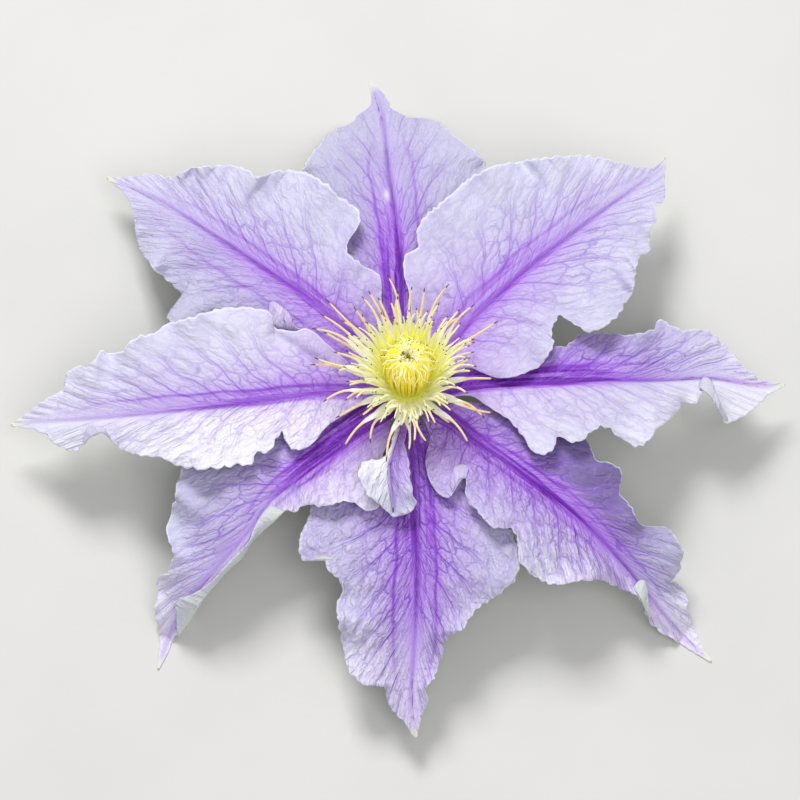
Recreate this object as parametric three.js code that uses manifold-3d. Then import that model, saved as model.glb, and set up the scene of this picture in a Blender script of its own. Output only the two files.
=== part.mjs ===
// A large-flowered clematis bloom, picked and lying face up: eight ruffled tepals and one small
// petal-like segment round a brush of stamens, with a tight head of styles in the middle and a short
// cut stalk bending away underneath. Millimetres, +Z up, the bloom resting on the plane z = 0.

import * as THREE from 'three';
import Module from 'manifold-3d';
import { mergeVertices } from 'three/addons/utils/BufferGeometryUtils.js';

const wasm = await Module();
wasm.setup();

// Driving dimensions

const baseHeight = 12;
const bladeThickness = 0.6;
const clearance = 0.3;
const receptacleRadius = 3.8;
const receptacleTop = baseHeight + 2.5;
const stalkRadius = 1.35;
const clawHalfWidth = 1.35;
const tipHalfWidth = 0.45;

// Outlines are read as they look from the front, in millimetres in the plane through the middle of the
// tepals' bases that faces the eye, with x to the right and y up. The eye stands to the south and above.

const eyeElevation = THREE.MathUtils.degToRad(61);
const eyeDistance = 1000;
const eyeAim = { x: -1.6, y: -1.0 };

// How the tepals lie over each other

const levelStep = 0.45;
const overRoll = 0.12;
const underRoll = -0.1;
const rollReach = 12;
const channelDepth = 0.45;

// Ruffles along the tepals' margins

const ruffleLength = 11.5;
const innerRuffle = 0.45;
const outerRuffle = 1.5;
const fullRuffleRib = 70;

// Rows along a tepal and places across one half of it, rib to margin

const tepalRows = 27;
const acrossHalf = [0, 0.3, 0.6, 0.84, 1];

const up = new THREE.Vector3(0, 0, 1);
const { smoothstep, lerp } = THREE.MathUtils;

// Where the eye's ray through the picture point (x, y) meets the level at this height

const eye = planePoint(eyeAim.x, eyeAim.y);
eye.y -= eyeDistance * Math.cos(eyeElevation);
eye.z += eyeDistance * Math.sin(eyeElevation);

function planePoint(x, y) {
  return new THREE.Vector3(x, y * Math.sin(eyeElevation), baseHeight + y * Math.cos(eyeElevation));
}

function carried(x, y, height) {
  const inPlane = planePoint(x, y);
  const reach = (height - eye.z) / (inPlane.z - eye.z);
  return eye.clone().lerp(inPlane, reach);
}

// Tepals. Each has its rib from claw to tip, and its two margins, named by the way they face round the
// axis as seen from above. A margin point is [x, y], then how far it is lifted off the blade's run, then
// how far the blade bulges out past it before it turns back in a fold. Heights are the rib's above the
// bases, at even steps from claw to tip. A margin that covers its neighbour is 'over', the other 'under'.

const tepals = {
  north: {
    level: 0, heights: [0, 2.2, 1.4, -4, -18], ccwLies: 'under', cwLies: 'under', wave: 0.3,
    rib: [[-0.3, 3.9], [-1.2, 12], [-1.9, 25.4], [-2.6, 35], [-3.9, 44], [-5.3, 56.5], [-7.6, 62.4]],
    ccw: [[-3.2, 8.5], [-8, 14], [-14, 22], [-19, 32], [-21.8, 40], [-21.3, 44.7], [-19.2, 48],
      [-15.9, 52], [-11.3, 54.4], [-9.9, 56.1], [-7.6, 57.5], [-7.3, 59.2]],
    cw: [[2.4, 8.5], [8, 14], [13, 23], [16.5, 33], [17.5, 40], [16.1, 45.4], [13.5, 48.6],
      [9.8, 51.6], [6.7, 54], [4.4, 55.3], [0.1, 55.3], [-1.9, 56.4], [-3.6, 57.5], [-4.2, 59.2],
      [-5.6, 61]],
  },
  northeast: {
    level: 3, heights: [0, 2.6, 3, 1, -4], ccwLies: 'over', cwLies: 'over', wave: 1.1,
    rib: [[3.4, 3.3], [7, 8], [13.1, 15.3], [20.7, 22.7], [30.1, 30.3], [39.4, 37.3], [47.4, 42.8],
      [50.3, 45], [51.6, 47.7]],
    ccw: [[2.4, 7], [1, 13], [0.3, 20], [-0.9, 24.9], [-0.5, 28.1], [1.9, 29.6], [1.6, 32.3],
      [3.3, 35.7], [7.3, 38.9], [11.8, 43.1], [16.1, 45.4], [22.1, 46.7], [28.4, 47.6],
      [35.4, 47.8], [41.7, 46.7], [46.4, 45.5], [49.4, 45.6]],
    cw: [[7, 3.9], [12.1, 5.5], [14.7, 4.5], [18.1, 3.4], [22.4, 4], [26.7, 6.3], [29, 9.8],
      [28.8, 13], [30, 15.5], [32.1, 15], [36.2, 12.6], [41.4, 15.3], [45.1, 21.7], [46.2, 27.4],
      [48.5, 28.9], [48.4, 33], [49.6, 35], [49.4, 38], [51.2, 39], [51.3, 43.6]],
  },
  east: {
    level: 2, heights: [0, 2.6, 2.5, -0.5, -6], ccwLies: 'under', cwLies: 'over', wave: 2.2,
    rib: [[4.4, 0.2], [13.4, 1.6], [27.4, 2.6], [39.4, 3], [51.4, 2.9], [61, 3.2], [71, 1.6],
      [75.3, 2]],
    ccw: [[8, 2.2], [13, 4.5], [20, 8.5], [26, 9.8], [31.8, 9.9], [34.2, 12], [38.2, 12.4],
      [44.6, 12.1], [48.8, 13.1], [50.4, 15], [53, 13.7], [55.8, 12.8], [59.3, 13.2], [62.6, 10.8],
      [66, 6.8], [68.4, 4.6], [71.6, 2.8]],
    cw: [[8, -0.5], [12.6, -0.2], [15.8, -2.2], [20.2, -5], [22.5, -7.8], [25, -11.2],
      [27.4, -11.9], [29.4, -10.2], [30.2, -8.4], [33.4, -9.6], [37.4, -6.9], [39.1, -6.2],
      [42.2, -8.4], [46.2, -10.3], [50.2, -6.6], [53.8, -3.6], [54.8, -1.6], [57.8, -1.6],
      [58.8, 0.8, 0.5], [60.4, -0.4, 1], [61.6, -2.4, 0.6], [64, -5.6], [66.1, -4.8],
      [69.4, -2.6], [71.8, -0.2]],
  },
  southeast: {
    level: 1, heights: [0, 2.4, 1.6, -4.5, -18], ccwLies: 'under', cwLies: 'over', wave: 0.8,
    rib: [[3.2, -2.6], [9.1, -5.2], [14.7, -9.7], [21.4, -14.3], [31.4, -22], [38.1, -28.3],
      [43.7, -34.7], [49.4, -41.7], [54.7, -48], [60.6, -53.3]],
    ccw: [[6.2, -2.8], [13, -3.6], [24, -4.2], [32, -5.5], [35.7, -8.5], [37.6, -12.7],
      [41.9, -14.2], [42.9, -16.4], [42.2, -19], [44.7, -22.5], [46.4, -25.7], [52.4, -27],
      [54.9, -31.7], [53.7, -36], [52.4, -37], [55.4, -39.2], [56.1, -43], [57.4, -47.3],
      [59.2, -51]],
    cw: [[3.5, -5.8], [4.4, -8.3], [3.5, -13], [4.4, -17.3], [6.7, -20.2], [8.4, -20.4],
      [10.3, -16.8, 0.6], [11.6, -16.6, 0.6], [11.5, -20.2], [14.6, -24], [16.7, -26.5],
      [20.7, -26.7], [22, -30], [22.3, -33], [25.4, -36.3], [29.4, -37.9], [34.2, -37.1],
      [38.6, -37.1], [43, -38.9], [45.8, -40.2], [47.2, -42.6], [48.6, -45.8], [52.1, -48.5],
      [56, -50.8]],
  },
  south: {
    level: 0, heights: [0, 2.2, 2, -1.5, -7], ccwLies: 'under', cwLies: 'under', wave: 1.7,
    rib: [[0.1, -3.9], [0.9, -10], [1.5, -20], [1.8, -37], [1.2, -51], [0.6, -62], [1.5, -68.6]],
    ccw: [[2.2, -7.4], [9, -13], [16, -20], [20, -26], [22, -30.6], [21.8, -36.2], [18.8, -39.3],
      [16.4, -41], [13.2, -43.3], [11, -46.8], [8, -48.3], [6.6, -52.6], [4.8, -57.2],
      [3.2, -58.6], [4.1, -60.4], [2.8, -64]],
    cw: [[-2, -7.4], [-8, -13], [-15, -18], [-19, -21], [-19.8, -24.2], [-21.8, -29.4],
      [-21, -33.1], [-16.5, -32.1], [-16.4, -34.4], [-13.3, -37.8], [-14.2, -42.6],
      [-13.4, -48.2], [-12.9, -51.8], [-10.8, -56.6], [-8, -58.2], [-5.1, -57.9], [-3.6, -62.2],
      [-0.4, -66]],
  },
  southwest: {
    level: 1, heights: [0, 2.4, 1.8, -3.5, -18], ccwLies: 'over', cwLies: 'under', wave: 2.9,
    rib: [[-3.2, -2.6], [-10.3, -7.3], [-16.6, -12], [-23.3, -17.3], [-28.2, -21.8],
      [-31.6, -27], [-35.9, -32], [-41.8, -38.9], [-46.5, -45.8], [-50, -54.8]],
    ccw: [[-3.6, -5.6], [-3.7, -9], [-5, -12], [-4.8, -18], [-5.6, -22.2], [-8.3, -23.1],
      [-10.9, -21.4], [-17.6, -22.3], [-20.3, -21.9], [-22.6, -23.3], [-25.6, -23],
      [-28.2, -25, -0.5], [-31, -28.6, -2, 1], [-34.5, -31.5, -4.5, 3], [-37.2, -34.6, -3.5, 2.5],
      [-39.3, -38.4, -1, 0.6], [-42.6, -42.7], [-45.9, -47.7]],
    cw: [[-5.6, -2.6], [-14, -4.8], [-26, -6.5], [-37, -9], [-43, -12], [-45.8, -16],
      [-46.8, -21.7], [-48.3, -27], [-47, -31.5], [-47.9, -35], [-50.2, -36.8], [-50, -40],
      [-50.7, -42.7], [-49.6, -47.7]],
  },
  west: {
    level: 3, heights: [0, 2.6, 2.6, 0, -5], ccwLies: 'over', cwLies: 'over', wave: 0.5,
    rib: [[-4.4, 0.2], [-18.6, 0], [-30.6, -1.6], [-46.6, -3.2], [-62.6, -4.8], [-72.6, -5.4],
      [-79.4, -6]],
    ccw: [[-8, -1.6], [-11, -3], [-16.1, -6.2], [-18.8, -9.4], [-21, -10.8], [-23.4, -10.8],
      [-25.3, -7.4], [-26.8, -9.8], [-28.6, -11.8], [-30.4, -11.4], [-31.4, -13.8],
      [-35.6, -14.2], [-41, -14.9], [-45.4, -14.2], [-49.8, -12.5], [-54, -12], [-57.6, -10.8],
      [-61.1, -7.6], [-63.8, -8.8], [-66.6, -11.2], [-70, -10.2], [-73.4, -7.4]],
    cw: [[-7.4, 2.4], [-11, 5.6], [-16, 10], [-20, 13.2], [-23.4, 12.8], [-27.2, 13.9],
      [-27, 16], [-30.2, 17.3], [-36.6, 17.4], [-43.8, 15.4], [-48.6, 14], [-50.6, 12.4],
      [-54.2, 11.6], [-58.4, 8.2], [-61.1, 8.9], [-63.8, 5.8], [-65.8, 5.8], [-68.4, 4],
      [-68.6, 1.4], [-72.4, -0.8], [-75.8, -3.4]],
  },
  northwest: {
    level: 1, heights: [0, 2.3, 1.5, -1.5, -6], ccwLies: 'under', cwLies: 'over', wave: 1.9,
    rib: [[-3.1, 2.7], [-8, 9], [-12, 12.5], [-19.9, 19], [-29.9, 26], [-39.9, 32.7],
      [-49.9, 39], [-60.2, 43.4]],
    ccw: [[-5.8, 3.4], [-14, 7], [-25, 10], [-36, 12], [-44, 13.4], [-48.3, 15.4], [-44.9, 19.2],
      [-47.9, 22.7], [-50.4, 24.8], [-52.9, 27.8], [-54.4, 32], [-54.9, 36.7], [-56.8, 40.3]],
    cw: [[-2.9, 6.4], [-4.5, 12], [-5.3, 19.4], [-5.6, 23.7], [-9.6, 26.3], [-12.3, 29.3],
      [-9.8, 34.3], [-9.6, 36.5], [-13.9, 39.9], [-17, 42.7], [-21.3, 44.7], [-26.9, 44.7],
      [-29.8, 43.6], [-33.3, 45.6], [-38.9, 45.8], [-43.4, 45.4], [-46.9, 43.6], [-51.6, 44.1],
      [-56.6, 43.6]],
  },
};

// The small segment in front springs from above the tepals, and its left side is folded up

const petaloid = {
  level: 0, heights: [2, 4.4, 6.2, 6, 4.6], ccwLies: 'over', cwLies: 'over', wave: 0,
  rib: [[-0.7, -3.9], [-2.1, -10], [-2.9, -15], [-2.6, -20], [-2.2, -24.2]],
  ccw: [[-0.6, -9], [-0.1, -12.3], [0.5, -16.3], [0.9, -19.6], [1.6, -21.6], [0.6, -23.4]],
  cw: [[-3.2, -9.4], [-4.8, -12.6], [-8.9, -13.4, 1], [-9.8, -15.4, 1.4], [-8, -20, 1],
    [-6, -21.6], [-4.2, -23.2]],
};

// Seen tips of the outer stamens, and the rules for the two rings inside them

const outerTips = [
  [-16.3, 19.1], [-19.3, 13.3], [-17, 12.8], [-13.4, 15], [-18.8, 7.5], [-19.5, 6.1], [-17, -1.4],
  [-14.5, -4.6], [-13, -10.7], [-10.8, 17.6], [-9.3, 19.8], [-7.9, 20.8], [-6, 19.5], [-4.2, 24.2],
  [-1.8, 20.9], [0.8, 21.7], [3.3, 21.4], [8.2, 22.2], [13.2, 18.1], [11, 15.8], [18, 14.8],
  [13.4, 10.5], [12.5, 7.5], [17.4, 3.3], [17.6, -3.6], [15.4, -4.7], [12.3, -10.1], [5.7, -6.1],
  [4.1, -9.9], [1.2, -9.7], [-4.3, -13.3], [-9.5, -4.3], [-17.6, 16.3], [4.8, 15.6],
];
const outerTipHeight = 11;
const innerRings = [
  { count: 22, tipRadius: 12.5, tipHeight: 14.5, spread: 1.6 },
  { count: 20, tipRadius: 8.2, tipHeight: 16.5, spread: 0.9 },
];
const stamenRing = { inner: 3.4, outer: 5.2, bottom: receptacleTop + clearance, top: receptacleTop + 2.4 };
const filamentWidth = 1.5;
const filamentThickness = 0.62;
const stamenSeed = 7;

// The head of styles

const styleCount = 20;
const styleWidth = 0.95;
const coreRadius = 3.9;
const headBottom = receptacleTop + clearance;
const headTop = baseHeight + 16.4;

// Solids from meshes

function geometryOf(positions, triangles) {
  const geometry = new THREE.BufferGeometry();
  geometry.setAttribute('position', new THREE.Float32BufferAttribute(positions, 3));
  geometry.setIndex(triangles);
  return geometry;
}

function solidOf(geometry) {
  const bare = geometry.clone();
  bare.deleteAttribute('normal');
  bare.deleteAttribute('uv');
  const merged = mergeVertices(bare, 1e-4);
  const vertProperties = new Float32Array(merged.getAttribute('position').array);
  const triVerts = new Uint32Array(merged.getIndex().array);
  return new wasm.Manifold(new wasm.Mesh({ numProp: 3, vertProperties, triVerts }));
}

function joined(solids) {
  const whole = solids.reduce((sum, solid) => sum.add(solid));
  const mesh = whole.getMesh();
  return geometryOf(Array.from(mesh.vertProperties), Array.from(mesh.triVerts));
}

function named(name, geometry, color, roughness) {
  geometry.computeVertexNormals();
  const material = new THREE.MeshStandardMaterial({ color, roughness, metalness: 0 });
  const mesh = new THREE.Mesh(geometry, material);
  mesh.name = name;
  return mesh;
}

// One margin of a blade: its outline as a curve, and where each outline point lies along the rib,
// from 0 at the claw to 1 at the tip, never running back

function marginOf(points, rib, side) {
  const first = cornerOf(rib, 0, side, clawHalfWidth);
  const last = cornerOf(rib, 1, side, tipHalfWidth);
  const rows = [first, ...points, last].map(([x, y, lift = 0, bulge = 0]) => [x, y, lift, bulge]);
  const curve = new THREE.CatmullRomCurve3(rows.map(([x, y, lift]) => new THREE.Vector3(x, y, lift)));
  const marks = rib.getSpacedPoints(160);
  const smallestStep = 0.012;
  let place = -smallestStep;
  const places = rows.map(([x, y]) => {
    const nearest = marks.reduce((best, mark, i) => (away(mark, x, y) < away(marks[best], x, y) ? i : best), 0);
    place = Math.max(nearest / (marks.length - 1), place + smallestStep);
    return place;
  });
  return { rows, curve, places: places.map((p) => (p - places[0]) / (places.at(-1) - places[0])) };
}

function away(mark, x, y) {
  return Math.hypot(mark.x - x, mark.y - y);
}

function outwardAt(rib, t, side) {
  const ahead = rib.getTangentAt(t);
  return new THREE.Vector2(-ahead.y, ahead.x).multiplyScalar(side).normalize();
}

function cornerOf(rib, t, side, halfWidth) {
  const spot = rib.getPointAt(t);
  const out = outwardAt(rib, t, side);
  return [spot.x + out.x * halfWidth, spot.y + out.y * halfWidth];
}

function marginAt(margin, t) {
  const count = margin.rows.length;
  const k = Math.min(margin.places.findLastIndex((p) => p <= t), count - 2);
  const part = (t - margin.places[k]) / (margin.places[k + 1] - margin.places[k]);
  const spot = margin.curve.getPoint((k + part) / (count - 1));
  return { x: spot.x, y: spot.y, lift: spot.z, bulge: lerp(margin.rows[k][3], margin.rows[k + 1][3], part) };
}

// How far a blade stands off the run of its rib's heights, at t along the rib and v from rib to margin

function heightAt(shape, ribLength, edge, width, lies, t, v) {
  const roll = (lies === 'over' ? overRoll : underRoll) * Math.min(width, rollReach) * v;
  const channel = channelDepth * smoothstep(t, 0, 0.2) * (1 - smoothstep(v, 0, 0.3)) * (1 - t);
  const free = smoothstep(t, 0.4, 0.65);
  const fading = smoothstep(t, 0.1, 0.3) * (1 - smoothstep(t, 0.8, 0.97));
  const size = lerp(lies === 'over' ? innerRuffle : 0, outerRuffle, free) * fading;
  const turn = (2 * Math.PI * ribLength * t) / ruffleLength + shape.wave + (lies === 'over' ? 0 : 2);
  const wave = size * Math.min(ribLength / fullRuffleRib, 1) * Math.sin(turn);
  return shape.level * levelStep + roll - channel + (edge.lift + wave) * v * v;
}

// A blade from its outlines: a mid-surface, thickened evenly, with closed margins

function bladeGeometry(shape, rowCount, across) {
  const rib = new THREE.CatmullRomCurve3(shape.rib.map(([x, y]) => new THREE.Vector3(x, y, 0)));
  const heights = new THREE.CatmullRomCurve3(
    shape.heights.map((z, i) => new THREE.Vector3(i / (shape.heights.length - 1), 0, z)), false, 'catmullrom');
  const sides = [
    { margin: marginOf(shape.ccw, rib, 1), side: 1, lies: shape.ccwLies, steps: [...across].reverse() },
    { margin: marginOf(shape.cw, rib, -1), side: -1, lies: shape.cwLies, steps: across.slice(1) },
  ];
  const grid = [];
  for (let row = 0; row <= rowCount; row += 1) {
    const t = row / rowCount;
    const onRib = rib.getPointAt(t);
    const ribHeight = baseHeight + heights.getPoint(t).z;
    const line = [];
    for (const { margin, side, lies, steps } of sides) {
      const edge = marginAt(margin, t);
      const width = away(onRib, edge.x, edge.y);
      const out = outwardAt(rib, t, side);
      for (const v of steps) {
        const belly = 2 * v * (1 - v) * edge.bulge;
        const x = lerp(onRib.x, edge.x, v) + out.x * belly;
        const y = lerp(onRib.y, edge.y, v) + out.y * belly;
        const height = ribHeight + heightAt(shape, rib.getLength(), edge, width, lies, t, v);
        line.push(carried(x, y, Math.max(height, bladeThickness / 2)));
      }
    }
    grid.push(line);
  }
  return thickened(grid);
}

function thickened(grid) {
  const rowCount = grid.length;
  const columnCount = grid[0].length;
  const positions = [];
  for (const side of [1, -1]) {
    for (let i = 0; i < rowCount; i += 1) {
      for (let j = 0; j < columnCount; j += 1) {
        const lying = grid[i][j].z <= bladeThickness / 2 + 1e-6;
        const normal = lying ? up : normalAt(grid, i, j);
        positions.push(...grid[i][j].clone().addScaledVector(normal, (side * bladeThickness) / 2));
      }
    }
  }
  const under = rowCount * columnCount;
  const triangles = [];
  for (let i = 0; i < rowCount - 1; i += 1) {
    for (let j = 0; j < columnCount - 1; j += 1) {
      const [a, b] = [i * columnCount + j, i * columnCount + j + 1];
      const [d, c] = [a + columnCount, b + columnCount];
      triangles.push(a, b, c, a, c, d);
      triangles.push(a + under, c + under, b + under, a + under, d + under, c + under);
    }
  }
  const rim = [];
  for (let j = 0; j < columnCount - 1; j += 1) rim.push(j);
  for (let i = 0; i < rowCount - 1; i += 1) rim.push(i * columnCount + columnCount - 1);
  for (let j = columnCount - 1; j > 0; j -= 1) rim.push((rowCount - 1) * columnCount + j);
  for (let i = rowCount - 1; i > 0; i -= 1) rim.push(i * columnCount);
  rim.forEach((p, i) => {
    const q = rim[(i + 1) % rim.length];
    triangles.push(p + under, q + under, q, p + under, q, p);
  });
  return geometryOf(positions, triangles);
}

function normalAt(grid, i, j) {
  const across = grid[i][Math.min(j + 1, grid[0].length - 1)].clone().sub(grid[i][Math.max(j - 1, 0)]);
  const along = grid[Math.min(i + 1, grid.length - 1)][j].clone().sub(grid[Math.max(i - 1, 0)][j]);
  return across.cross(along).normalize();
}

// A slim blade or strand along a path, with four-sided sections: widths lie across the spoke it grows on

function strandGeometry(path, spoke, widths, thickness) {
  const sideways = new THREE.Vector3(-Math.sin(spoke), Math.cos(spoke), 0);
  const positions = [];
  widths.forEach((width, i) => {
    const t = i / (widths.length - 1);
    const spot = path.getPoint(t);
    const face = path.getTangent(t).cross(sideways).normalize();
    const half = Math.min(thickness, width) / 2;
    positions.push(...spot.clone().addScaledVector(sideways, width / 2));
    positions.push(...spot.clone().addScaledVector(face, half));
    positions.push(...spot.clone().addScaledVector(sideways, -width / 2));
    positions.push(...spot.clone().addScaledVector(face, -half));
  });
  const triangles = [0, 2, 1, 0, 3, 2];
  for (let i = 0; i < widths.length - 1; i += 1) {
    for (let k = 0; k < 4; k += 1) {
      const [a, b] = [4 * i + k, 4 * i + ((k + 1) % 4)];
      triangles.push(a, b, b + 4, a, b + 4, a + 4);
    }
  }
  const end = 4 * (widths.length - 1);
  triangles.push(end, end + 1, end + 2, end, end + 2, end + 3);
  return geometryOf(positions, triangles);
}

function seededRandom(seed) {
  let state = seed;
  return () => {
    state = (state * 16807) % 2147483647;
    return state / 2147483647;
  };
}

// Stamens: flat filaments with slim anthers, sunk in a ring on the receptacle

function stamen(tip) {
  const spoke = Math.atan2(tip.y, tip.x);
  const reach = Math.hypot(tip.x, tip.y);
  const rise = tip.z - stamenRing.top;
  const rootRadius = (stamenRing.inner + stamenRing.outer) / 2;
  const at = (radius, height) => new THREE.Vector3(
    radius * Math.cos(spoke), radius * Math.sin(spoke), stamenRing.top + height);
  const path = new THREE.CatmullRomCurve3([
    at(rootRadius, -0.9), at(lerp(rootRadius, reach, 0.2), rise * 0.36),
    at(lerp(rootRadius, reach, 0.58), rise * 0.8), at(reach, rise)]);
  const widths = [1, 1.05, 1, 0.62, 0.5].map((part) => part * filamentWidth);
  return solidOf(strandGeometry(path, spoke, widths, filamentThickness));
}

function stamens() {
  const random = seededRandom(stamenSeed);
  const { inner, outer, bottom, top } = stamenRing;
  const section = [[inner, bottom], [outer, bottom], [outer, top], [inner, top], [inner, bottom]];
  const ring = new THREE.LatheGeometry(section.map(([r, z]) => new THREE.Vector2(r, z)), 28);
  ring.rotateX(Math.PI / 2);
  const solids = [solidOf(ring)];
  for (const [x, y] of outerTips) {
    solids.push(stamen(carried(x, y, baseHeight + outerTipHeight + 2 * (random() - 0.5))));
  }
  for (const { count, tipRadius, tipHeight, spread } of innerRings) {
    for (let i = 0; i < count; i += 1) {
      const turn = (2 * Math.PI * (i + 0.6 * random())) / count;
      const radius = tipRadius + spread * (2 * random() - 1);
      const height = baseHeight + tipHeight + spread * (random() - 0.5);
      solids.push(stamen(new THREE.Vector3(radius * Math.cos(turn), radius * Math.sin(turn), height)));
    }
  }
  return joined(solids);
}

// Pistils: styles arching out of the middle of the head and down its sides, round a smaller core

function pistils() {
  const rise = headTop - headBottom;
  const profile = [[0, 0], [0.6, 0], [0.78, 0.35], [1, 0.64], [0.78, 0.86], [0.4, 0.95], [0, 0.97]];
  const core = new THREE.LatheGeometry(
    profile.map(([r, h]) => new THREE.Vector2(r * coreRadius, headBottom + h * rise)), 20);
  core.rotateX(Math.PI / 2);
  const solids = [solidOf(core)];
  for (let i = 0; i < styleCount; i += 1) {
    const spoke = (2 * Math.PI * i) / styleCount;
    const at = (radius, part) => new THREE.Vector3(
      radius * Math.cos(spoke), radius * Math.sin(spoke), headBottom + part * rise);
    const path = new THREE.CatmullRomCurve3([
      at(2.5, 0.2), at(3.6, 0.42), at(4.4, 0.66), at(3.9, 0.86), at(2.1, 0.99), at(0.5, 0.93)]);
    const widths = [0.7, 1, 1.1, 1, 0.9, 0.75, 0.5].map((part) => part * styleWidth);
    solids.push(solidOf(strandGeometry(path, spoke, widths, styleWidth)));
  }
  return joined(solids);
}

// Stem: the receptacle that carries the bloom, and the cut stalk bending down to the surface

function stem() {
  const low = baseHeight - 2.6;
  const profile = [[0, low], [stalkRadius, low], [2.6, baseHeight - 1.3], [receptacleRadius, baseHeight - 0.5],
    [receptacleRadius, receptacleTop - 0.5], [receptacleRadius - 0.5, receptacleTop], [0, receptacleTop]];
  const receptacle = new THREE.LatheGeometry(profile.map(([r, z]) => new THREE.Vector2(r, z)), 24);
  receptacle.rotateX(Math.PI / 2);
  const lying = stalkRadius + 0.05;
  const path = new THREE.CatmullRomCurve3([
    new THREE.Vector3(0, 0, baseHeight - 0.8), new THREE.Vector3(0.2, 0.4, low - 0.6),
    new THREE.Vector3(2.4, 4.8, lying + 3), new THREE.Vector3(8, 14, lying + 0.25),
    new THREE.Vector3(13, 22, lying), new THREE.Vector3(17, 31, lying)]);
  const section = new THREE.Shape().absarc(0, 0, stalkRadius, 0, 2 * Math.PI);
  const stalk = new THREE.ExtrudeGeometry(section, { steps: 18, curveSegments: 5, extrudePath: path });
  return joined([solidOf(receptacle), solidOf(stalk)]);
}

// The bloom, with the origin under the middle of its outline

const bloom = new THREE.Group();
for (const [place, shape] of Object.entries(tepals)) {
  bloom.add(named(`tepal_${place}`, bladeGeometry(shape, tepalRows, acrossHalf), 0xcdc0ea, 0.6));
}
bloom.add(named('petaloid', bladeGeometry(petaloid, 12, acrossHalf), 0xe6e0f5, 0.6));
bloom.add(named('stamens', stamens(), 0xf0edb0, 0.6));
bloom.add(named('pistils', pistils(), 0xdcd03c, 0.55));
bloom.add(named('stem', stem(), 0x7f9a4c, 0.7));

const extent = new THREE.Box3().setFromObject(bloom);
const middle = extent.getCenter(new THREE.Vector3());
bloom.position.set(-middle.x, -middle.y, 0);

const flower = new THREE.Group();
flower.add(bloom);

export default flower;
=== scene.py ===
"""A large-flowered clematis bloom, picked and lying face up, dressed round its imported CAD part.

Eight ruffled tepals, a small segment in front of them, a brush of stamens, a head of styles and the
cut stalk are grown as finer pieces, on the same outlines as the part's own. Sizes are millimetres
until a mesh is made, unless a property says otherwise.
"""

import math
from functools import partialmethod

import bpy
import numpy as np
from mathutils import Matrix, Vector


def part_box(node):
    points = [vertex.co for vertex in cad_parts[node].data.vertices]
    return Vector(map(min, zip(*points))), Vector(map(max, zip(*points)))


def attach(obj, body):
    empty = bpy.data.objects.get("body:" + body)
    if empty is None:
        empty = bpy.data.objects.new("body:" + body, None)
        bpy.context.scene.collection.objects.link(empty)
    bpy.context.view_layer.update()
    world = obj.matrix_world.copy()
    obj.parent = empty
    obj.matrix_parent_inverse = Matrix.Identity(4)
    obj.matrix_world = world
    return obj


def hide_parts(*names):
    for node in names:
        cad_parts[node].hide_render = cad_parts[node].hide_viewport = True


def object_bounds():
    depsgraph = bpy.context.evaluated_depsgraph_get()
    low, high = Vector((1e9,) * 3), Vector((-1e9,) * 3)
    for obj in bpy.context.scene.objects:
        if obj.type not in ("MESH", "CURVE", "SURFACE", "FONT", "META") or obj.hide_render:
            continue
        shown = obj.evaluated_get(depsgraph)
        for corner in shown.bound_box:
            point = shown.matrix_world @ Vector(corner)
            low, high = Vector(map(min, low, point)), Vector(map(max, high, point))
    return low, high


bl_info = {
    "name": "Clematis bloom",
    "version": (1, 0, 0),
    "blender": (4, 5, 0),
    "location": "3D View > Sidebar > Clematis",
    "description": "Grows the tepals, stamens, styles and stalk of a clematis bloom",
    "category": "Add Mesh",
}

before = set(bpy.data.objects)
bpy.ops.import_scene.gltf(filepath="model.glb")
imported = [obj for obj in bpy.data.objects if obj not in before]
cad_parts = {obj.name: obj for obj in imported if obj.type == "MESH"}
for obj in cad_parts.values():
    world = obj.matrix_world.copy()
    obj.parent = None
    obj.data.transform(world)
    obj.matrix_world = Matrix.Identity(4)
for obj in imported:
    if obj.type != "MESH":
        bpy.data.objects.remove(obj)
CAD_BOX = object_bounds()

MM = 0.001

# The bloom's own sizes, as in the part

BASE_HEIGHT = 12.0
RECEPTACLE_TOP = BASE_HEIGHT + 2.5
CLAW_HALF_WIDTH = 1.35
TIP_HALF_WIDTH = 0.2
LEVEL_STEP = 0.45
OVER_ROLL = 0.12
UNDER_ROLL = -0.1
ROLL_REACH = 12.0
CHANNEL_DEPTH = 0.45
RUFFLE_LENGTH = 11.5
INNER_RUFFLE = 0.45
OUTER_RUFFLE = 1.5
FULL_RUFFLE_RIB = 70.0

# The eye. Outlines are given as it sees them, in the plane through the bases that faces it. The
# picture is so many millimetres wide there, and the floor's size is in metres

EYE_ELEVATION = math.radians(61)
EYE_DISTANCE = 1000.0
EYE_AIM = (-1.6, -1.0)
SEEN_WIDTH = 160
SENSOR_WIDTH = 36
FLOOR_SIZE = 4.0

# Side veins: how far apart they leave the rib, how much they fan out, how far they wander, and how
# far the swerves of the rib that they start from are smoothed

VEIN_SPACING = 4.8
VEIN_FAN = 2.5
VEIN_BEND = 0.78
VEIN_WANDER = 0.13
WANDER_LENGTH = 19.0
VEIN_CALM = 5.0

# The blade's small relief: its pleats, the frill at its margin, and the margin's teeth

PLEAT = 1.7
FRILL_LENGTH = 5.2
TOOTH_SPACING = 3.3
TOOTH_DRIFT = 9.0
FINE_TOOTH = 1.7

# A blade's grid: how its spots crowd at the margin, how little the margin's swerves reach in, and
# how thick its rim is, from the edge inward, as a share of the blade

CROWDING = 0.85
SWERVE_POWER = 6
THINNING_RIM = (0.45, 0.8, 1)

# Every blade starts its random draws at a place of its own

FIRST_BLADE_SEED = 11
BLADE_SEED_STEP = 20
PETALOID_SEED = 311

# What a tepal gives for each of its two sides, ccw first

SIDE_TRAITS = ("lies", "bar", "dusk", "crepe", "veins", "long_veins", "long_strength", "wash")

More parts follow.
